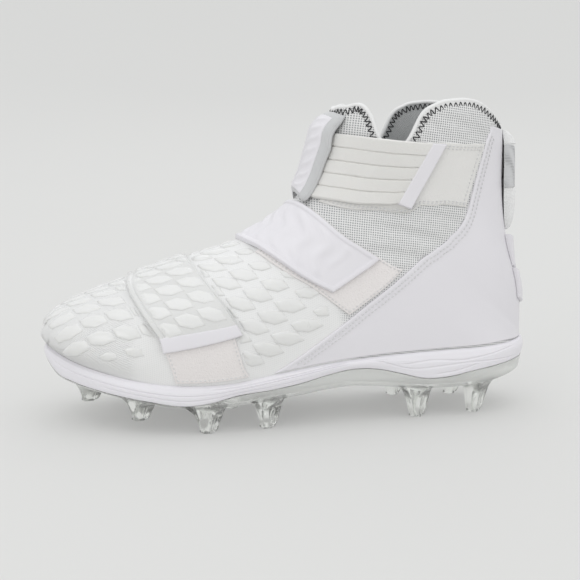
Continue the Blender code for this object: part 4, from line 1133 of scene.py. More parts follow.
def add_skin(look, sizes):
    """The knit boot's outer layer: out by the flap's two ramps and a bell, less the creases."""
    up, round_ = boot_grid(*SKIN_GRID)
    base = surface(up, round_)
    folded = np.minimum(round_, 1 - round_)
    below_edge = collar_height(round_) - up
    flap = hump(folded, FLAP_MIDDLE, FLAP_HALF) * ramp(up, *FLAP_RISE) * ramp(below_edge, 0.0, 0.02)
    flap = sizes.flap_padding * flap
    relief = flap - crease_relief(base)
    points, faces = boot_wall(up, round_, relief, -sizes.skin)
    across, way = lengths(base, 1), lengths(base, 0)
    middle = across[:, across.shape[1] // 2, None]
    ankle = ramp(up, *ANKLE_KNIT) * ramp(below_edge, *PLAIN_EDGE)
    toe = 1 - ramp(up, *TOE_KNIT)
    values = {"ankle": np.tile(ankle.ravel(), 2), "toe": np.tile(toe.ravel(), 2)}
    uv = np.tile(pairs(across - middle, way), (2, 1))
    add_piece("upper_skin", points, faces, knit_finish(look), "white_knit", uv, ("upper",), 60, values)


def add_lining(look, sizes):
    """The grey lining inside the boot."""
    up, round_ = boot_grid(*LINING_GRID)
    up = np.where(up > OPEN_TO, up - 0.004 * (up - OPEN_TO) / (collar_height(round_) - OPEN_TO), up)
    points, faces = boot_wall(up, round_, -sizes.skin - 0.0001, -UPPER_WALL)
    base = surface(up, round_)
    uv = np.tile(pairs(lengths(base, 1), lengths(base, 0)), (2, 1))
    finish = woven_finish("knit_lining", look.lining, 0.0011, 0.0003, 0.80, 0.9)
    add_piece("lining", points, faces, finish, "grey_lining", uv, (), 60)


# Points of the collar's lines, and the lines between which the zigzag is read: the first one's
# way in from the edge, the step to the next and how many there are
BINDING_POINTS = 520
ZIGZAG_POINTS = 2400
FIRST_LINE, LINE_STEP, LINES = 0.0004, 0.0005, 13
THREAD_LIFT = 0.00025


def collar_line(count, inward=0.0, lift=0.0):
    """Points and outward normals of a closed line on the boot, inward from the collar's edge.

    The way inward is taken square to the edge.
    """
    round_ = np.linspace(0, 1, count, endpoint=False)
    edge = collar_height(round_)
    tiny = 0.002
    rising = (surface(edge, round_) - surface(edge - tiny, round_)) / tiny
    turning = (surface(edge, (round_ + tiny) % 1) - surface(edge, (round_ - tiny) % 1)) / (2 * tiny)
    line = surface(edge, round_)
    ahead = np.roll(line, -1, 0) - np.roll(line, 1, 0)
    normal = np.cross(turning, rising)
    down = np.cross(ahead, normal)
    down /= np.linalg.norm(down, axis=1, keepdims=True)
    more_up, more_round = solved(rising, turning, down * np.reshape(inward, (-1, 1)))
    up, round_ = edge + more_up, (round_ + more_round) % 1
    line = surface(up, round_, lift)
    return line, surface(up, round_, lift + 0.001) - line


def add_binding(look, sizes):
    """The folded edge of the collar: a flattened tube over the tops of skin and lining."""
    line, normal = collar_line(BINDING_POINTS, 0.0002, -UPPER_WALL / 2)
    points, faces = tube(line, sizes.binding, 16, 1.15, normal)
    finish = smooth_finish("binding_tape", look.knit, 0.5, 0.00012)
    add_piece("collar_binding", points, faces, finish, "white_knit")


def add_zigzag(look, sizes):
    """Dark overlock thread that zigzags along the binding, outside and inside.

    Its way in from the edge is the sine of a triangle wave, whose height changes a little
    along the way with the product of two slow sines.
    """
    finish = thread_finish("black_thread", look.thread)
    for name, lift in (("zigzag_outside", THREAD_LIFT), ("zigzag_inside", -UPPER_WALL - THREAD_LIFT)):
        way = lengths(collar_line(ZIGZAG_POINTS)[0][None], 1)[0]
        count = 2 * int(round(way[-1] / sizes.zigzag_pitch))
        places = np.linspace(0, 1, count * 8, endpoint=False)
        even = np.interp(places * way[-1], way, np.arange(len(way)) / len(way))
        turn = places * count
        swing = np.sin((np.abs((turn % 2) - 1) * 2 - 1) * np.pi / 2 * 0.92)
        swell = 0.9 + 0.18 * np.sin(turn * 1.7) * np.sin(turn * 0.61)
        inward = sizes.zigzag_place + sizes.zigzag_height / 2 * swing * swell
        inwards = FIRST_LINE + LINE_STEP * np.arange(LINES)
        lines = [collar_line(ZIGZAG_POINTS, amount, lift) for amount in inwards]
        share = np.clip((inward - FIRST_LINE) / LINE_STEP, 0, LINES - 1.001)
        around = even * ZIGZAG_POINTS
        path, normal = (spread_between([line[k] for line in lines], share, around) for k in (0, 1))
        points, faces = tube(path, sizes.zigzag_thread, 6, 0.75, normal)
        add_piece(name, points, faces, finish, "white_knit", sharp=80)


def spread_between(lines, share, around):
    """Points between closed lines of as many points each, at fractional places across and around."""
    grid = np.stack(lines)
    i, j = share.astype(int), around.astype(int)
    a, b = (share - i)[:, None], (around - j)[:, None]
    j, k = j % grid.shape[1], (j + 1) % grid.shape[1]
    near = grid[i, j] * (1 - b) + grid[i, k] * b
    far = grid[i + 1, j] * (1 - b) + grid[i + 1, k] * b
    return near * (1 - a) + far * a


# Moulded scales

# Where the scales lie, in metres along the shoe (p) and round the girth down from the ridge (q):
# a first scale, two steps to its neighbours, and the half length, half width and slope of each.
Lattice = namedtuple("Lattice", "from_p from_q step_p step_q next_p next_q half wide slope")
FOOT_LATTICE = Lattice(-0.0445, 0.0428, 0.0072, 0.0152, 0.0105, -0.0024, 0.0106, 0.0037, 0.62)
STRAP_LATTICE = Lattice(-0.0910, 0.0400, 0.0052, 0.0116, 0.0128, -0.0009, 0.0100, 0.0036, 0.50)
TOE_LATTICE = Lattice(-0.1418, 0.0229, 0.0040, 0.0127, 0.0148, 0.0037, 0.0106, 0.0036, 0.68)
# Steps of a lattice to either side of its first scale, the gap that scales keep to straps, up
# the fan, and how far up it the toe's scales go beside the forefoot patch
SCALE_SPREAD = 14
SCALE_GAP = 0.004
PATCH_FRONT = 0.218
# Round the girth, where the forefoot strap has scales
STRAP_SCALES = (0.155, 0.95)
# Outline of a scale along and across, in half lengths and half widths
HEXAGON = np.array([(1, 0), (0.36, 1), (-0.46, 1), (-1, 0), (-0.36, -1), (0.46, -1), (1, 0)])

GIRTH_UP = np.linspace(0, 1, 401)


def ways_of_form():
    """The place along the shoe and the girth for places up the fan."""
    side = on_form(GIRTH_UP, np.full(401, 0.25))[:, 0]
    rounds = np.linspace(0, 1, 161)
    rings = on_form(GIRTH_UP[:, None] + 0 * rounds, rounds[None] + 0 * GIRTH_UP[:, None])
    return side, lengths(rings, 1)[:, -1]


SIDE_X, GIRTH = ways_of_form()


def to_form(p, q):
    """Places up and round of a place along the shoe and a way round the girth from the ridge."""
    up = np.interp(p, SIDE_X[:260], GIRTH_UP[:260])
    return up, 0.5 + q / np.interp(up, GIRTH_UP, GIRTH)


def strap_edges(table, round_):
    """Where a strap's two edges lie up the fan at places round."""
    low_up, low_round, high_up, high_round, _ = columns_of(table)
    return np.interp(round_, low_round, low_up), np.interp(round_, high_round, high_up)


def scale_mesh(lattice, allowed, limits, lift, height):
    """Points and faces of a lattice of scales, on both sides of the ridge: six-cornered pillows.

    Each rises from its outline over a fifth of its half width and is slightly domed, higher
    towards the toe. Allowed gives a scale's size from 0 to 1. Limits are the lowest and the
    highest place up the fan at places round: what would lie outside them is cut off. Lift is
    a length, or gives one for places round.
    """
    steps = np.arange(-SCALE_SPREAD, SCALE_SPREAD)
    i, j, side = (g.ravel() for g in np.meshgrid(steps, steps, np.array([-1.0, 1.0])))
    p = lattice.from_p + i * lattice.step_p + j * lattice.next_p
    q = lattice.from_q + i * lattice.step_q + j * lattice.next_q
    up, round_ = to_form(p, side * q)
    low, high = limits(round_)
    size = allowed(up, round_, p) * (q > -0.001) * (up > low - 0.012) * (up < high + 0.012)
    size = size * np.where(q < 0.003, side < 0, True)
    kept = size > 0.3
    p, q, side, size = (values[kept][:, None, None] for values in (p, q, side, size))
    corner = np.linspace(0, 6, 19)
    corners = [np.interp(corner, np.arange(7), HEXAGON[:, k]) for k in (0, 1)]
    share = np.array([1.0, 0.94, 0.85, 0.72, 0.4, 0.0])
    rise = np.array([0.0, 0.48, 0.70, 0.84, 0.96, 1.0])
    u = share[:, None] * corners[0] * lattice.half * size
    w = share[:, None] * corners[1] * lattice.wide * size
    slope = np.arctan(lattice.slope)
    up, round_ = to_form(p + u * np.cos(slope) - w * np.sin(slope),
                         side * (q + u * np.sin(slope) + w * np.cos(slope)))
    low, high = limits(round_)
    cut = np.clip(up, low, high)
    inside = ramp(np.minimum(cut - low, high - cut), 0.0, 0.005)
    dome = rise[:, None] * (1 - 0.22 * u / lattice.half) * inside * size**0.5
    place = (cut, np.clip(round_, 0.002, 0.998))
    base = lift(round_) if callable(lift) else lift
    top = surface(*place, base - 0.00015 + height * dome)
    bottom = surface(*place, base - 0.0003 + 0 * dome)
    top, bottom = (np.where(side[..., None] < 0, grid, grid[:, :, ::-1]) for grid in (top, bottom))
    grids = np.concatenate([top[:, ::-1], bottom], 1)
    rows, columns = grids.shape[1:3]
    return grids.reshape(-1, 3), copies(quads(rows, columns), rows * columns, len(p))


def add_scales(look, sizes):
    """Moulded scales on the toe and the forefoot, clear of straps, patch and heel counter.

    A scale's size fades in over the heel counter's edge and the sole, and shrinks by a third
    towards the midfoot strap.
    """
    edge_up, edge_round = columns_of(COUNTER_EDGE)

    strap_start = FOREFOOT_STRAP[0].low_round

    def within(table, round_):
        return strap_edges(table, np.clip(round_, table[0].low_round, table[-1].low_round))

    def behind_strap(round_):
        _, strap = strap_edges(FOREFOOT_STRAP, round_)
        _, patch = strap_edges(FOREFOOT_PATCH, np.clip(round_, 0, FOREFOOT_PATCH[-1].low_round))
        midfoot, _ = within(MIDFOOT_STRAP, round_)
        return np.where(round_ < strap_start, patch, strap) + SCALE_GAP, midfoot - 1.5 * SCALE_GAP

    def before_strap(round_):
        strap, _ = within(FOREFOOT_STRAP, round_)
        return 3 * SCALE_GAP + 0 * round_, np.where(round_ < strap_start, PATCH_FRONT, strap) - SCALE_GAP

    def on_foot(up, round_, p):
        folded = np.minimum(round_, 1 - round_)
        counter = np.interp(up, edge_up, edge_round, left=-1)
        low = ramp(folded - counter, 0.020, 0.060)
        midfoot, _ = within(MIDFOOT_STRAP, round_)
        smaller = 1 - 0.30 * (1 - ramp(midfoot - up, 0.010, 0.060))
        return low * smaller * (up < 0.56) * ramp(folded, 0.01, 0.05)

    def on_toe(up, round_, p):
        folded = np.minimum(round_, 1 - round_)
        return ramp(up, 0.02, 0.05) * ramp(folded, 0.01 + 0.36 * up, 0.06 + 0.36 * up)

    parts = [scale_mesh(FOOT_LATTICE, on_foot, behind_strap, 0.0, sizes.scale_height),
             scale_mesh(TOE_LATTICE, on_toe, before_strap, 0.0, 0.85 * sizes.scale_height)]
    finish = scale_finish("moulded_scales", look.scales)
    add_piece("forefoot_scales", *joined(parts), finish, "white_knit", sharp=80)


def add_strap_scales(look, sizes):
    """Moulded scales on the forefoot strap, inside its welts."""

    def inside(round_):
        low, high = strap_edges(FOREFOOT_STRAP, round_)
        return low + 0.013, high - SCALE_GAP

    def on_strap(up, round_, p):
        return 1.0 * (round_ > STRAP_SCALES[0]) * (round_ < STRAP_SCALES[1])

    def lift(round_):
        _, low_round, _, high_round, over = columns_of(FOREFOOT_STRAP)
        over = np.clip(smooth((low_round + high_round) / 2, over, round_), 0, 1)
        return BAND_CLEARANCE + STRAP_THICKNESS - 0.0001 + over * (PATCH_THICKNESS + BAND_CLEARANCE)

    points, faces = scale_mesh(STRAP_LATTICE, on_strap, inside, lift, 0.75 * sizes.scale_height)
    finish = scale_finish("strap_scale_coating", look.scales)
    add_piece("strap_scales", points, faces, finish, "white_knit", sharp=80)


# Straps and patches

# How far the slabs reach down below their solids, to lie snug on what is under them
SNUG = 0.0003


def thickness_of(table, full):
    """Thickness of a plate or tab at shares across it, from its table."""
    knots = np.arange(len(table))
    return lambda a, b: full * smooth(knots, column(table, "thick"), a * knots[-1])


def add_pad(name, place, height, finish, slot, replaced, **settings):
    """A slab with rounded rims as a piece that stands for the solids named."""
    points, faces, uv = pad(place, height, **settings)
    return add_piece(name, points, faces, finish, slot, uv, replaced)


def add_forefoot(look, sizes):
    """The forefoot strap with its welt and scales, its smooth end and the patch under it."""
    fleece = fleece_finish("fleece_patch", look.fleece)
    base = scale_finish("strap_coating", look.strap)
    coated = smooth_finish("strap_end", look.coated)

    def hem(a, b, across, way, edge):
        """A raised border along the whole rim."""
        return 0.00025 * (1 - ramp(edge, 0.0016, 0.0026))

    add_pad("forefoot_patch_fleece", on_band(FOREFOOT_PATCH, SNUG), PATCH_THICKNESS + SNUG, fleece,
            "fleece", ("forefoot_patch",), rim=0.0006, rows=34, columns=40, relief=hem)

    def welt(a, b, across, way, edge):
        """A raised welt along either side, and a trough beside the front one."""
        back = across[-1:] - across
        raised = 0.00035 * (1 - ramp(across, 0.0028, 0.0036)) + 0.00025 * (1 - ramp(back, 0.0008, 0.0014))
        return raised - 0.0004 * hump(across, 0.0036, 0.0008)

    add_pad("forefoot_strap_band", on_band(FOREFOOT_TIP[1:] + FOREFOOT_STRAP, SNUG),
            STRAP_THICKNESS + 0.0002, base, "white_knit", ("forefoot_strap",), rim=0.0008, rows=60,
            columns=150, relief=welt)
    add_strap_scales(look, sizes)
    add_pad("forefoot_strap_end", on_band(FOREFOOT_TIP, SNUG), STRAP_THICKNESS + 0.0006, coated,
            "smooth_synthetic", ("forefoot_strap_tip",), rim=0.0009, rows=60, columns=12)


def add_midfoot(look, sizes):
    """The midfoot strap with its raised frame and waves, its smooth end and its patch."""
    fleece = fleece_finish("midfoot_fleece", look.fleece)
    coated = smooth_finish("midfoot_coating", look.coated, 0.34)
    add_pad("midfoot_patch_fleece", on_band(MIDFOOT_PATCH, SNUG), PATCH_THICKNESS + SNUG, fleece,
            "fleece", ("midfoot_patch",), rim=0.0006, rows=30, columns=50)

    def waves(a, b, across, way, edge):
        """A raised frame at the rim, and within it waves whose crests bend with two slow sines."""
        border = 1 - ramp(edge, 0.0026, 0.0036)
        bend = 1.3 * np.sin(across / 0.0041 + way / 0.021) + 0.9 * np.sin(way / 0.013)
        wave = 0.5 + 0.5 * np.sin(2 * np.pi * way / sizes.wave_length - across / 0.0033 + bend)
        inner = ramp(edge, 0.0034, 0.0075) * ramp(way, 0.012, 0.020)
        return 0.00045 * border - 0.00025 * (1 - border) + 0.0010 * wave**1.5 * inner

    add_pad("midfoot_strap_band", on_band(MIDFOOT_TIP[1:] + MIDFOOT_STRAP, SNUG),
            STRAP_THICKNESS + SNUG, coated, "smooth_synthetic",
            ("midfoot_strap", "midfoot_strap_tip"), rim=0.0009, rows=70, columns=180, relief=waves)


def add_ankle(look, sizes):
    """The ankle strap of five woven bands, its slanted end and its patch."""
    webbing = woven_finish("cream_webbing_weave", look.webbing, 0.00075, 0.00022, 0.93)
    patch = woven_finish("ankle_patch_weave", look.patch, 0.0006, 0.00016, 0.95)
    coated = smooth_finish("ankle_strap_coating", look.coated)

    def bands(a, b, across, way, edge):
        """Five crowned bands with troughs between them."""
        groove = sum(hump(a, k / 5, 0.014) for k in range(1, 5))
        crown = np.sin(np.clip((a * 5) % 1, 0, 1) * np.pi) ** 0.5
        return -0.0010 * groove + 0.00018 * crown

    add_pad("ankle_patch_cloth", on_band(ANKLE_PATCH, SNUG), PATCH_THICKNESS + SNUG, patch,
            "cream_webbing", ("ankle_patch",), rim=0.0006, rows=36, columns=70)
    add_pad("ankle_strap_webbing", straight(on_band(ANKLE_TIP[1:] + ANKLE_STRAP, SNUG)),
            STRAP_THICKNESS + 0.0002, webbing, "cream_webbing", ("ankle_strap",), rim=0.0009, rows=110,
            columns=110, relief=bands)
    add_pad("ankle_strap_end", straight(on_band(ANKLE_TIP, SNUG)), STRAP_THICKNESS + 0.0009, coated,
            "smooth_synthetic", ("ankle_strap_tip",), rim=0.0009, rows=70, columns=14)


# The tongue plate's panel: its length and width as shares of the plate's, and how far it is sunk
PANEL_LENGTH = 0.82
PANEL_WIDTH = 0.70
PANEL_SUNK = 0.0006


def add_tongue(look, sizes):
    """The raised plate at the front of the ankle: a grey webbing edge round a textured panel."""
    grey = woven_finish("tongue_webbing", look.grey_webbing, 0.0008, 0.0002, 0.90)
    panel = smooth_finish("tongue_panel_coating", look.coated, 0.42, 0.00012)
    height = thickness_of(TONGUE_PLATE, TONGUE_PLATE_THICKNESS)
    place = on_ribs(TONGUE_PLATE, TONGUE_PLATE_THICKNESS, CLEARANCE)
    add_pad("tongue_plate_webbing", place, height, grey, "grey_webbing", ("tongue_plate",),
            rim=0.0034, rows=120, columns=50)

    def on_top(a, b):
        a = 0.5 + PANEL_LENGTH * (a - 0.5)
        up, round_, lift = place(a, 0.5 + PANEL_WIDTH * (b - 0.5))
        return up, round_, lift + height(a, b) - PANEL_SUNK

    def texture(a, b, across, way, edge):
        """Rows of soft ridges: the square of a sine whose way bends with two others."""
        bend = 0.9 * np.sin(way / 0.0031) + 0.7 * np.sin(across / 0.0067)
        rows = (0.5 + 0.5 * np.sin(2 * np.pi * across / 0.0074 + way / 0.0016 + bend)) ** 2
        return 0.0007 * rows * ramp(edge, 0.0010, 0.0026)

    add_pad("tongue_panel", on_top, 0.0011, panel, "smooth_synthetic", (), rim=0.0007, rows=96,
            columns=48, relief=texture)


# The heel counter's round rim, and its two seams: their places in from its front edge, the
# depth to which they draw it in and half the width of that trough
COUNTER_RIM = 0.0008
COUNTER_SEAMS = (0.0024, 0.0047)
SEAM_DEPTH = 0.00016
SEAM_HALF = 0.0009


def add_counter(look, sizes):
    """The smooth overlay round the heel: two arms joined up the back, with a thin raised edge."""
    finish = smooth_finish("counter_coating", look.coated, 0.40)
    edge_up, edge_round = columns_of(COUNTER_EDGE)
    low, high = edge_up[0], COUNTER_TOP
    rows = np.unique(np.concatenate([low + (high - low) * rimmed(0.16, COUNTER_RIM, 140)[:, 0], [OPEN_TO]]))
    front = np.interp(rows, edge_up, edge_round)
    front = np.where(rows > edge_up[0], smooth(edge_up, edge_round, rows), front)[:, None]
    base = COUNTER_BASE * np.clip((OPEN_TO - rows) / COUNTER_RUN, 0, 1)[:, None]
    share = rimmed(0.06, COUNTER_RIM, 60)[:, 0][None]
    round_ = base + (front - base) * share
    up = rows[:, None] + 0 * share
    apart = ~(feet_meet(rows[:-1]) & feet_meet(rows[1:]))
    arms, uvs = [], []
    for inner in (False, True):
        at = 1 - round_[:, ::-1] if inner else round_
        bottom = surface(up, at, 0.00005)
        across, way = lengths(bottom, 1), lengths(bottom, 0)
        from_back, to_front = across, across[:, -1:] - across
        if inner:
            from_back, to_front = to_front, from_back
        base_way = np.where(feet_meet(rows)[:, None], 1.0, from_back)
        edge = np.minimum(np.minimum(to_front, base_way), way[-1:] - way)
        rise = COUNTER_THICKNESS * rounding(edge, COUNTER_RIM)
        rise = rise - SEAM_DEPTH * sum(hump(to_front, seam, SEAM_HALF) for seam in COUNTER_SEAMS)
        rise = rise * (edge > 1e-6)
        top = surface(up, at, CLEARANCE + rise)
        top = np.where(edge[..., None] > 1e-6, top, bottom)
        side = "end" if inner else "start"
        arms.append(two_sided(top, bottom, {side: apart}))
        uvs += [pairs(across, way)] * 2
    points, faces = joined(arms)
    add_piece("counter_overlay", points, faces, finish, "smooth_synthetic", np.concatenate(uvs),
              ("heel_counter",))


def add_heel_strip(look, sizes):
    """The padded pull tab with its webbing band, and the two small tabs below it."""
    fleece = fleece_finish("pull_tab_fabric", look.knit, 0.0003)
    grey = woven_finish("pull_tab_webbing", look.grey_webbing, 0.0012, 0.0004, 0.72)
    coated = smooth_finish("heel_tab_coating", look.coated)
    over = COUNTER_THICKNESS + CLEARANCE + BAND_CLEARANCE

    tab, band = PULL_TAB[::-1], PULL_TAB_BAND[::-1]
    piece = add_pad("pull_tab_pad", on_ribs(tab, PULL_TAB_THICKNESS, over - 0.0004, 0.0),
                    thickness_of(tab, PULL_TAB_THICKNESS), fleece, "fleece", ("pull_tab",),
                    rim=0.0016, rows=90, columns=40)
    wide = [rib._replace(half=rib.half + 0.0016, stand=rib.stand - 0.84) for rib in band]
    add_pad("pull_tab_webbing", on_ribs(wide, PULL_TAB_THICKNESS, over, 0.0), 0.88 * PULL_TAB_THICKNESS,
            grey, "grey_webbing", ("pull_tab_band",), rim=0.0012, rows=50, columns=60)
    for name, table in (("heel_tab_upper", HEEL_TAB_UPPER), ("heel_tab_lower", HEEL_TAB_LOWER)):
        table = table[::-1]
        add_pad(name + "_shell", on_ribs(table, HEEL_TAB_THICKNESS, over - 0.0003, 0.0),
                thickness_of(table, HEEL_TAB_THICKNESS), coated, "smooth_synthetic", (name,),
                rim=0.0009, rows=36, columns=40)


# Stitches


def band_line(table, a, b, count=400):
    """Places up and round along a band at one share across, or across it at one share along."""
    place = on_band(table)
    line = np.linspace(0, 1, count)
    return place(line * 0 + a, line) if b is None else place(line, line * 0 + b)


def add_stitches(look, sizes):
    """Rows of stitches inside the edges of patches and heel counter."""
    # The light thread is a grey darker than the white it sews: painted shade along the stitch rows
    finish = thread_finish("white_thread", look.stitch)
    pitch = sizes.stitch_pitch
    rows = []
    top = PATCH_THICKNESS + 0.00012
    for table, lines in (
        (ANKLE_PATCH, ((0.045, None), (0.08, None), (0.955, None), (0.92, None), (None, 0.025))),
        (FOREFOOT_PATCH, ((0.04, None), (0.96, None), (None, 0.06))),
        (MIDFOOT_PATCH, ((0.035, None), (0.965, None), (None, 0.03))),
    ):
        for a, b in lines:
            up, round_, lift = band_line(table, a, b)
            rows.append(stitch_row(up, round_, lift + top, pitch))
    edge_up, edge_round = columns_of(COUNTER_EDGE)
    up = np.linspace(edge_up[0] + 0.03, 0.95, 900)
    front = smooth(edge_up, edge_round, up)
    girth = np.interp(up, GIRTH_UP, GIRTH)
    for inset in COUNTER_SEAMS:
        for inner in (False, True):
            round_ = front - inset / girth * 1.15
            kept = round_ > 0.012
            round_ = 1 - round_ if inner else round_
            rows.append(stitch_row(up[kept], round_[kept], CLEARANCE + COUNTER_THICKNESS + 0.0002, pitch))
    add_piece("white_stitches", *joined(rows), finish, "smooth_synthetic", sharp=80)


# Sole


# Grooves of the midsole's sides, as along in lengths and down in shares of the side.
Groove = namedtuple("Groove", "along down")
GROOVES = [
    [Groove(0.640, 0.18), Groove(0.705, 0.66), Groove(0.758, 0.58), Groove(0.811, 0.54), Groove(0.943, 0.79)],
    [Groove(0.700, 0.50), Groove(0.758, 0.30), Groove(0.837, 0.42), Groove(0.942, 0.18)],
    [Groove(0.769, 0.85), Groove(0.838, 0.78), Groove(0.864, 0.70)],
    [Groove(0.655, 0.14), Groove(0.677, 0.31)],
    [Groove(0.030, 0.42), Groove(0.120, 0.44), Groove(0.250, 0.46), Groove(0.400, 0.44), Groove(0.600, 0.30)],
    [Groove(0.120, 0.70), Groove(0.200, 0.71), Groove(0.300, 0.73), Groove(0.420, 0.74), Groove(0.520, 0.68)],
    [Groove(0.320, 0.20), Groove(0.420, 0.24), Groove(0.520, 0.22), Groove(0.590, 0.12)],
]


def groove_depth(x, down, half=0.06):
    """Depth of the side's grooves from 0 to 1: a bell round each line, fading at its ends."""
    depth = np.zeros(np.broadcast(x, down).shape)
    share = (x - TOE_X) / LENGTH
    for line in GROOVES:
        at, level = columns_of(line)
        level = smooth(at, level, share)
        fade = ramp(share, at[0] - 0.004, at[0] + 0.014) * (1 - ramp(share, at[-1] - 0.014, at[-1] + 0.004))
        depth = np.maximum(depth, hump(down, level, half) * fade)
    return depth


def rungs(start, count, last, turned):
    """Faces between the two sides of a ring, from station to station."""
    i = np.arange(last)
    a, b = start + i, start + i + 1
    c, d = start + (count - i - 1) % count, start + (count - i) % count
    faces = np.stack([a, b, c, d], -1)
    return faces[:, ::-1] if turned else faces


def ring_stack(rings):
    """Points and faces of a solid with rings for its side, from the top one down."""
    count, last = len(RING_X), len(STATIONS) - 1
    points = np.concatenate(rings)
    k = np.arange(len(rings) - 1)[:, None] * count
    i = np.arange(count)[None]
    j = (i + 1) % count
    side = np.stack([k + i, k + count + i, k + count + j, k + j], -1).reshape(-1, 4)
    bottom = rungs((len(rings) - 1) * count, count, last, True)
    return points, np.concatenate([side, rungs(0, count, last, False), bottom])


def add_midsole(look, sizes):
    """The white foam sole: a ledge under the boot, grooved sides, and its stepped underside."""
    x = RING_X
    top = feather_height(x) - CLEARANCE
    white, _ = sole_heights(x)
    rings = [sole_ring(ledge(x) - 0.010, top), sole_ring(-0.0004 + 0 * x, top + 0.0001),
             sole_ring(0.4 * ledge(x), top + 0.0005), sole_ring(ledge(x) - 0.0005, top + 0.0003)]
    shares = np.linspace(0, 1, 58)
    knots, bulges = columns_of(MIDSOLE_SIDE)
    for down in shares:
        bulge = np.interp(down, knots, bulges) * ramp(down, -0.02, 0.06)
        depth = groove_depth(x, down) * sizes.groove
        rim = 1 - rounding(min(down, 1 - down) + 0.001, 0.05)
        out = ledge(x) + bulge * SIDE_BULGE - depth - 0.0006 * rim
        rings.append(sole_ring(out, top + (white - top) * down))
    rings += step_rings(x, CLEARANCE)[1:]
    points, faces = ring_stack(rings)
    add_piece("foam_sole", points, faces, foam_finish(look), "white_foam", None, ("midsole",), 40)


def stud_mesh(stud, sides=60):
    """Points and faces of one stud: a three-ribbed cone with six flat sides and a flared root."""
    turn = np.linspace(0, 2 * np.pi, sides, endpoint=False)
    root = along(stud.along)
    tip = stud.tip * BALL_LIFT
    y_tip = float(centre_line(root)) + stud.across * BALL_WIDTH
    six_sided = np.cos(np.pi / 6) / np.cos(turn % (np.pi / 3) - np.pi / 6)
    ups = np.concatenate([[0, 0.012, 0.035], np.linspace(0.07, 1, 26)])
    knots, reaches, lobes = columns_of(STUD_PROFILE)
    rings = []
    for up in ups:
        reach, lobe = float(smooth(knots, reaches, up)), float(smooth(knots, lobes, up))
        narrow = 0.14 * (1 - ramp(up, 0.0, 0.6))
        radius = (STUD_TIP + (STUD_FLARE * stud.size - STUD_TIP) * reach) * (1 - narrow)
        radius = radius * (1 - 0.12 * (1 - min(up / 0.035, 1)) ** 2)
        sided = (1 - ramp(up, 0.45, 0.9)) * (six_sided - 0.93)
        radius = radius * (1 + sided + 1.1 * lobe * np.cos(3 * turn))
        x = root + stud.rake * STUD_FLARE * reach + radius * np.cos(turn)
        y = y_tip + radius * np.sin(turn) * stud.blade
        edge = plate_edge(x) - RIM_WIDTH / 2
        y = np.clip(y, outline(x, OUTER) - edge, outline(x, INNER) + edge)
        white, clear = sole_heights(x)
        inside = np.minimum(PLATE_THICKNESS, white - CLEARANCE - clear) / 2
        rings.append(np.stack([x, y, tip + (clear + inside - tip) * up], 1))
    points = np.concatenate([[rings[0].mean(0)], *rings, [rings[-1].mean(0)]])
    i = np.arange(sides)
    j = (i + 1) % sides
    a = 1 + np.arange(len(rings) - 1)[:, None] * sides
    side = np.stack([a + i, a + j, a + sides + j, a + sides + i], -1).reshape(-1, 4)
    last = 1 + (len(rings) - 1) * sides
    low = np.stack([0 * i, 0 * i, 1 + j, 1 + i], -1)
    high = np.stack([0 * i + last + sides, 0 * i + last + sides, last + i, last + j], -1)
    return points, np.concatenate([side, low, high])


def plain_object(name, points, faces):
    """An object of points and faces at the solids' place."""
    thing = bpy.data.objects.new(name, mesh_of(name, points, faces))
    bpy.context.scene.collection.objects.link(thing)
    return thing


# A plate that its studs have joined has at least this many points.
LEAST_PLATE_POINTS = 10000


def add_plate(look, sizes):
    """The clear plate with its studs, united into one mesh."""
    x = RING_X
    white, clear = sole_heights(x)
    edge = plate_edge(x)
    rings = step_rings(x, 0.0)[::-1]
    rings += [sole_ring(edge - 0.0002, white - CLEARANCE - 0.0006),
              sole_ring(edge - RIM_WIDTH / 2, clear + 0.0001),
              sole_ring(edge - RIM_WIDTH / 2 - 0.0006, clear)]
    plate = plain_object("clear_sole", *ring_stack(rings))
    cutter = plain_object("stud_shapes", *joined([stud_mesh(stud) for stud in STUDS]))
    union = plate.modifiers.new("studs", "BOOLEAN")
    union.operation = "UNION"
    union.solver = "EXACT"
    union.object = cutter
    bpy.context.view_layer.update()
    made = bpy.data.meshes.new_from_object(plate.evaluated_get(bpy.context.evaluated_depsgraph_get()))
    if len(made.vertices) < LEAST_PLATE_POINTS:
        raise RuntimeError("the studs didn't join the plate")
    plate.modifiers.clear()
    plate.data = made
    bpy.data.objects.remove(cutter)
    made.materials.clear()
    made.materials.append(clear_finish(look))
    made.shade_smooth()
    made.set_sharp_from_angle(angle=np.radians(35))
    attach(plate, "root")
    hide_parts("outsole_plate")


INSOLE_RIM = 0.0012


def add_insole(look, sizes):
    """The insole: a cushioned sheet with rounded rims and a cloth face."""
    x = RING_X
    toe, heel = near_ends(x, 0.06 * LENGTH)
    inset = UPPER_WALL + 3 * CLEARANCE + INSOLE_TOE_GAP * toe + INSOLE_HEEL_GAP * heel
    floor = feather_height(x)
    turn = np.linspace(np.pi / 2, 0, 6)
    top = floor + INSOLE_THICKNESS
    rings = [sole_ring(-inset - 0.012, top)]
    rings += [sole_ring(-inset - INSOLE_RIM * (1 - np.cos(t)), top - INSOLE_RIM * (1 - np.sin(t)))
              for t in turn]
    rings.append(sole_ring(-inset, floor))
    points, faces = ring_stack(rings)
    uv = points[:, :2]
    finish = woven_finish("insole_cloth", look.lining, 0.0012, 0.0002, 0.85, 0.9)
    add_piece("insole_cushion", points, faces, finish, "grey_lining", uv, ("insole",))


# Stage


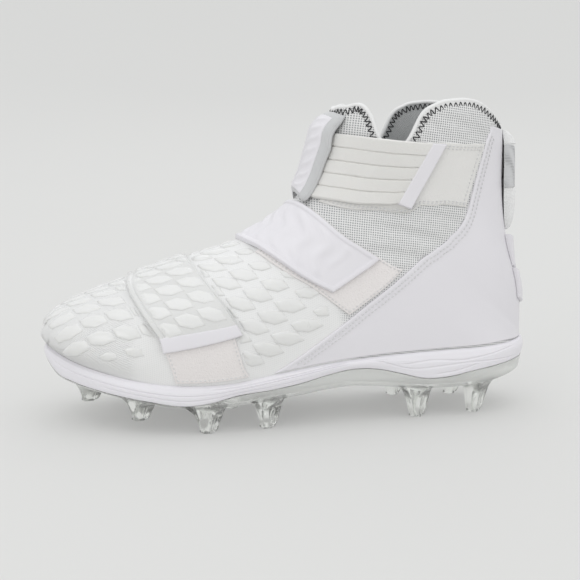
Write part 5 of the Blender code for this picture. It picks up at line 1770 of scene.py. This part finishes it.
# Soft lamps, with their place, size and power, and the point at which they aim
Lamp = namedtuple("Lamp", "name place size power")
LAMPS = table_of(
    Lamp, ("lamp_above", (-0.3, -0.6, 2.4), 3.0, 9.0), ("lamp_left", (-1.5, -1.6, 0.5), 1.4, 7.0),
    ("lamp_right", (1.6, -1.5, 0.5), 1.4, 4.0), ("lamp_back", (0.4, 1.7, 1.3), 1.4, 2.0),
)
LAMP_AIM = (0, 0, 0.08)
# The floor is flat up to this radius and then curves up, on a circle of the bend, by the turn.
FLOOR_RADIUS = 0.9
FLOOR_BEND = 5.0
FLOOR_TURN = 0.75


def aimed(name, data, place, way):
    """A lamp or camera at a place, looking along a way."""
    thing = bpy.data.objects.new(name, data)
    thing.location = place
    thing.rotation_euler = way.to_track_quat("-Z", "Y").to_euler()
    bpy.context.scene.collection.objects.link(thing)
    return thing


def add_stage(look, sizes):
    """A pale round floor that curves up slowly all round, soft lamps and the camera."""
    turn = np.linspace(0, FLOOR_TURN, 24)
    out = np.concatenate([[0.0, 0.2, 0.4, 0.7], FLOOR_RADIUS + FLOOR_BEND * np.sin(turn)])
    rise = np.concatenate([np.zeros(4), FLOOR_BEND * (1 - np.cos(turn))])
    spin = np.linspace(0, 2 * np.pi, 97)
    grid = np.stack([out[:, None] * np.cos(spin), out[:, None] * np.sin(spin), rise[:, None] + 0 * spin], -1)
    floor = plain_object("floor", grid.reshape(-1, 3) - SHIFT, quads(*grid.shape[:2]))
    floor.data.materials.append(plain_finish("pale_floor", look.floor, sizes.floor_glow))
    floor.data.shade_smooth()
    for lamp in LAMPS:
        light = bpy.data.lights.new(lamp.name, "AREA")
        light.shape = "DISK"
        light.size = lamp.size
        light.energy = lamp.power
        aimed(lamp.name, light, Vector(lamp.place), Vector(LAMP_AIM) - Vector(lamp.place))
    world = bpy.data.worlds.new("studio")
    world.use_nodes = True
    world.node_tree.nodes["Background"].inputs[0].default_value = (0.96, 0.97, 0.98, 1)
    world.node_tree.nodes["Background"].inputs[1].default_value = sizes.sky
    bpy.context.scene.world = world
    bpy.context.scene.view_settings.view_transform = "Standard"
    camera = bpy.data.cameras.new("camera")
    camera.sensor_fit = "HORIZONTAL"
    camera.angle = np.radians(sizes.view_angle)
    camera.clip_start = 0.01
    az, el = np.radians(sizes.azimuth), np.radians(sizes.elevation)
    back = Vector((np.sin(az) * np.cos(el), -np.cos(az) * np.cos(el), np.sin(el)))
    aim = Vector((SHIFT[0], SHIFT[1], sizes.aim_height))
    bpy.context.scene.camera = aimed("camera", camera, aim + back * sizes.distance, -back)


# Add-on


def colour(name, description, default):
    """A colour property."""
    return FloatVectorProperty(name=name, description=description, default=default, subtype="COLOR", size=3,
                               min=0.0, max=1.0)


def length(name, description, default):
    """A length property, in metres."""
    return FloatProperty(name=name, description=description, default=default, unit="LENGTH", precision=5)


class CleatLook(bpy.types.PropertyGroup):
    """Colours of the cleat's materials and of the floor."""

    knit: colour("Knit", "Knit of the boot and its binding", (0.80, 0.80, 0.795))
    scales: colour("Scales", "Moulded scales", (0.75, 0.75, 0.74))
    strap: colour("Strap", "Forefoot strap between its scales", (0.68, 0.68, 0.67))
    coated: colour("Coating", "Heel counter, strap ends and midfoot strap", (0.745, 0.73, 0.76))
    foam: colour("Foam", "Foam sole", (0.80, 0.785, 0.82))
    plastic: colour("Plastic", "Clear plate and studs", (0.93, 0.94, 0.92))
    webbing: colour("Webbing", "Ankle strap", (0.80, 0.79, 0.765))
    patch: colour("Patch", "Patch under the ankle strap", (0.80, 0.79, 0.77))
    fleece: colour("Fleece", "Patches under the other straps", (0.80, 0.765, 0.755))
    grey_webbing: colour("Grey webbing", "Edge of the tongue plate, band of the pull tab",
                         (0.60, 0.605, 0.61))
    lining: colour("Lining", "Lining and insole", (0.50, 0.51, 0.51))
    thread: colour("Dark thread", "Zigzag round the collar", (0.012, 0.012, 0.014))
    # Greyer than the white thread itself: painted shade along the stitch rows
    stitch: colour("Light thread", "Stitches of patches and heel counter", (0.68, 0.68, 0.68))
    floor: colour("Floor", "Floor and wall of the studio", (0.43, 0.43, 0.42))


class CleatSizes(bpy.types.PropertyGroup):
    """Sizes that a user would change."""

    skin: length("Skin", "Thickness of the knit outside the lining", 0.0012)
    flap_padding: length("Flap padding", "How far the padded flap at the back stands out", 0.0010)
    binding: length("Binding", "Radius of the collar's binding", 0.0013)
    zigzag_place: length("Zigzag place", "From the collar's edge to the middle of the zigzag", 0.0031)
    zigzag_height: length("Zigzag height", "Height of the zigzag", 0.0035)
    zigzag_pitch: length("Zigzag pitch", "From one zigzag to the next", 0.0034)
    zigzag_thread: length("Zigzag thread", "Radius of the zigzag's thread", 0.00034)
    scale_height: length("Scale height", "Height of the moulded scales", 0.0014)
    wave_length: length("Wave length", "From one wave of the midfoot strap to the next", 0.0125)
    stitch_pitch: length("Stitch pitch", "From one stitch to the next", 0.0026)
    groove: length("Groove", "Depth of the grooves in the foam sole", 0.0005)
    sky: FloatProperty(name="Sky", description="Strength of the light from all round", default=0.97)
    floor_glow: FloatProperty(name="Floor glow", description="Even glow of the floor", default=0.265)
    azimuth: FloatProperty(name="Azimuth", description="Camera's turn from the outer side, in degrees",
                           default=-10.0)
    elevation: FloatProperty(name="Elevation", description="Camera's height over the shoe, in degrees",
                             default=9.0)
    view_angle: FloatProperty(name="View angle", description="Width of the view, in degrees", default=30.3)
    distance: length("Distance", "From the camera to its aim", 0.681)
    aim_height: length("Aim height", "Height of the camera's aim", 0.0776)


def finish_operator(makers, context):
    """Runs the makers of an operator and raises an error if one made nothing."""
    scene = context.scene
    for maker in makers:
        before = len(bpy.data.objects)
        maker(scene.cleat_look, scene.cleat_sizes)
        if len(bpy.data.objects) == before:
            raise RuntimeError(maker.__name__ + " made nothing")
    return {"FINISHED"}


class CLEAT_OT_boot(bpy.types.Operator):
    """Adds the knit boot, its lining, the collar's binding and its zigzag thread."""

    bl_idname = "cleat.boot"
    bl_label = "Boot and collar"

    def execute(self, context):
        return finish_operator((add_skin, add_lining, add_binding, add_zigzag), context)


class CLEAT_OT_scales(bpy.types.Operator):
    """Adds the moulded scales on toe and forefoot."""

    bl_idname = "cleat.scales"
    bl_label = "Scales"

    def execute(self, context):
        return finish_operator((add_scales,), context)


class CLEAT_OT_straps(bpy.types.Operator):
    """Adds the three straps with their ends and patches."""

    bl_idname = "cleat.straps"
    bl_label = "Straps and patches"

    def execute(self, context):
        return finish_operator((add_forefoot, add_midfoot, add_ankle), context)


class CLEAT_OT_tongue(bpy.types.Operator):
    """Adds the raised plate at the front of the ankle."""

    bl_idname = "cleat.tongue"
    bl_label = "Tongue plate"

    def execute(self, context):
        return finish_operator((add_tongue,), context)


class CLEAT_OT_heel(bpy.types.Operator):
    """Adds the heel counter, the pull tab and the heel tabs."""

    bl_idname = "cleat.heel"
    bl_label = "Heel"

    def execute(self, context):
        return finish_operator((add_counter, add_heel_strip), context)


class CLEAT_OT_stitches(bpy.types.Operator):
    """Adds the stitches of patches and heel counter."""

    bl_idname = "cleat.stitches"
    bl_label = "Stitches"

    def execute(self, context):
        return finish_operator((add_stitches,), context)


class CLEAT_OT_sole(bpy.types.Operator):
    """Adds the foam sole, the clear plate with its studs and the insole."""

    bl_idname = "cleat.sole"
    bl_label = "Sole"

    def execute(self, context):
        return finish_operator((add_midsole, add_plate, add_insole), context)


class CLEAT_OT_stage(bpy.types.Operator):
    """Adds the floor, the lamps and the camera."""

    bl_idname = "cleat.stage"
    bl_label = "Stage"

    def execute(self, context):
        return finish_operator((add_stage,), context)


OPERATORS = (CLEAT_OT_boot, CLEAT_OT_scales, CLEAT_OT_straps, CLEAT_OT_tongue, CLEAT_OT_heel,
             CLEAT_OT_stitches, CLEAT_OT_sole, CLEAT_OT_stage)


class CLEAT_PT_panel(bpy.types.Panel):
    """Lists the cleat's sizes, colours and steps."""

    bl_idname = "CLEAT_PT_panel"
    bl_label = "Football cleat"
    bl_space_type = "VIEW_3D"
    bl_region_type = "UI"
    bl_category = "Cleat"

    def draw(self, context):
        layout = self.layout
        for group in (context.scene.cleat_look, context.scene.cleat_sizes):
            for key in group.__annotations__:
                layout.prop(group, key)
        for operator in OPERATORS:
            layout.operator(operator.bl_idname)


CLASSES = (CleatLook, CleatSizes, *OPERATORS, CLEAT_PT_panel)


def register():
    """Registers the classes and hangs the property groups on the scene."""
    for kind in CLASSES:
        bpy.utils.register_class(kind)
    bpy.types.Scene.cleat_look = PointerProperty(type=CleatLook)
    bpy.types.Scene.cleat_sizes = PointerProperty(type=CleatSizes)


def unregister():
    """Takes the property groups and the classes away."""
    del bpy.types.Scene.cleat_look
    del bpy.types.Scene.cleat_sizes
    for kind in reversed(CLASSES):
        bpy.utils.unregister_class(kind)


def main():
    """Builds every piece and the stage."""
    register()
    bpy.ops.cleat.boot()
    bpy.ops.cleat.scales()
    bpy.ops.cleat.straps()
    bpy.ops.cleat.tongue()
    bpy.ops.cleat.heel()
    bpy.ops.cleat.stitches()
    bpy.ops.cleat.sole()
    bpy.ops.cleat.stage()


if __name__ == "__main__":
    main()
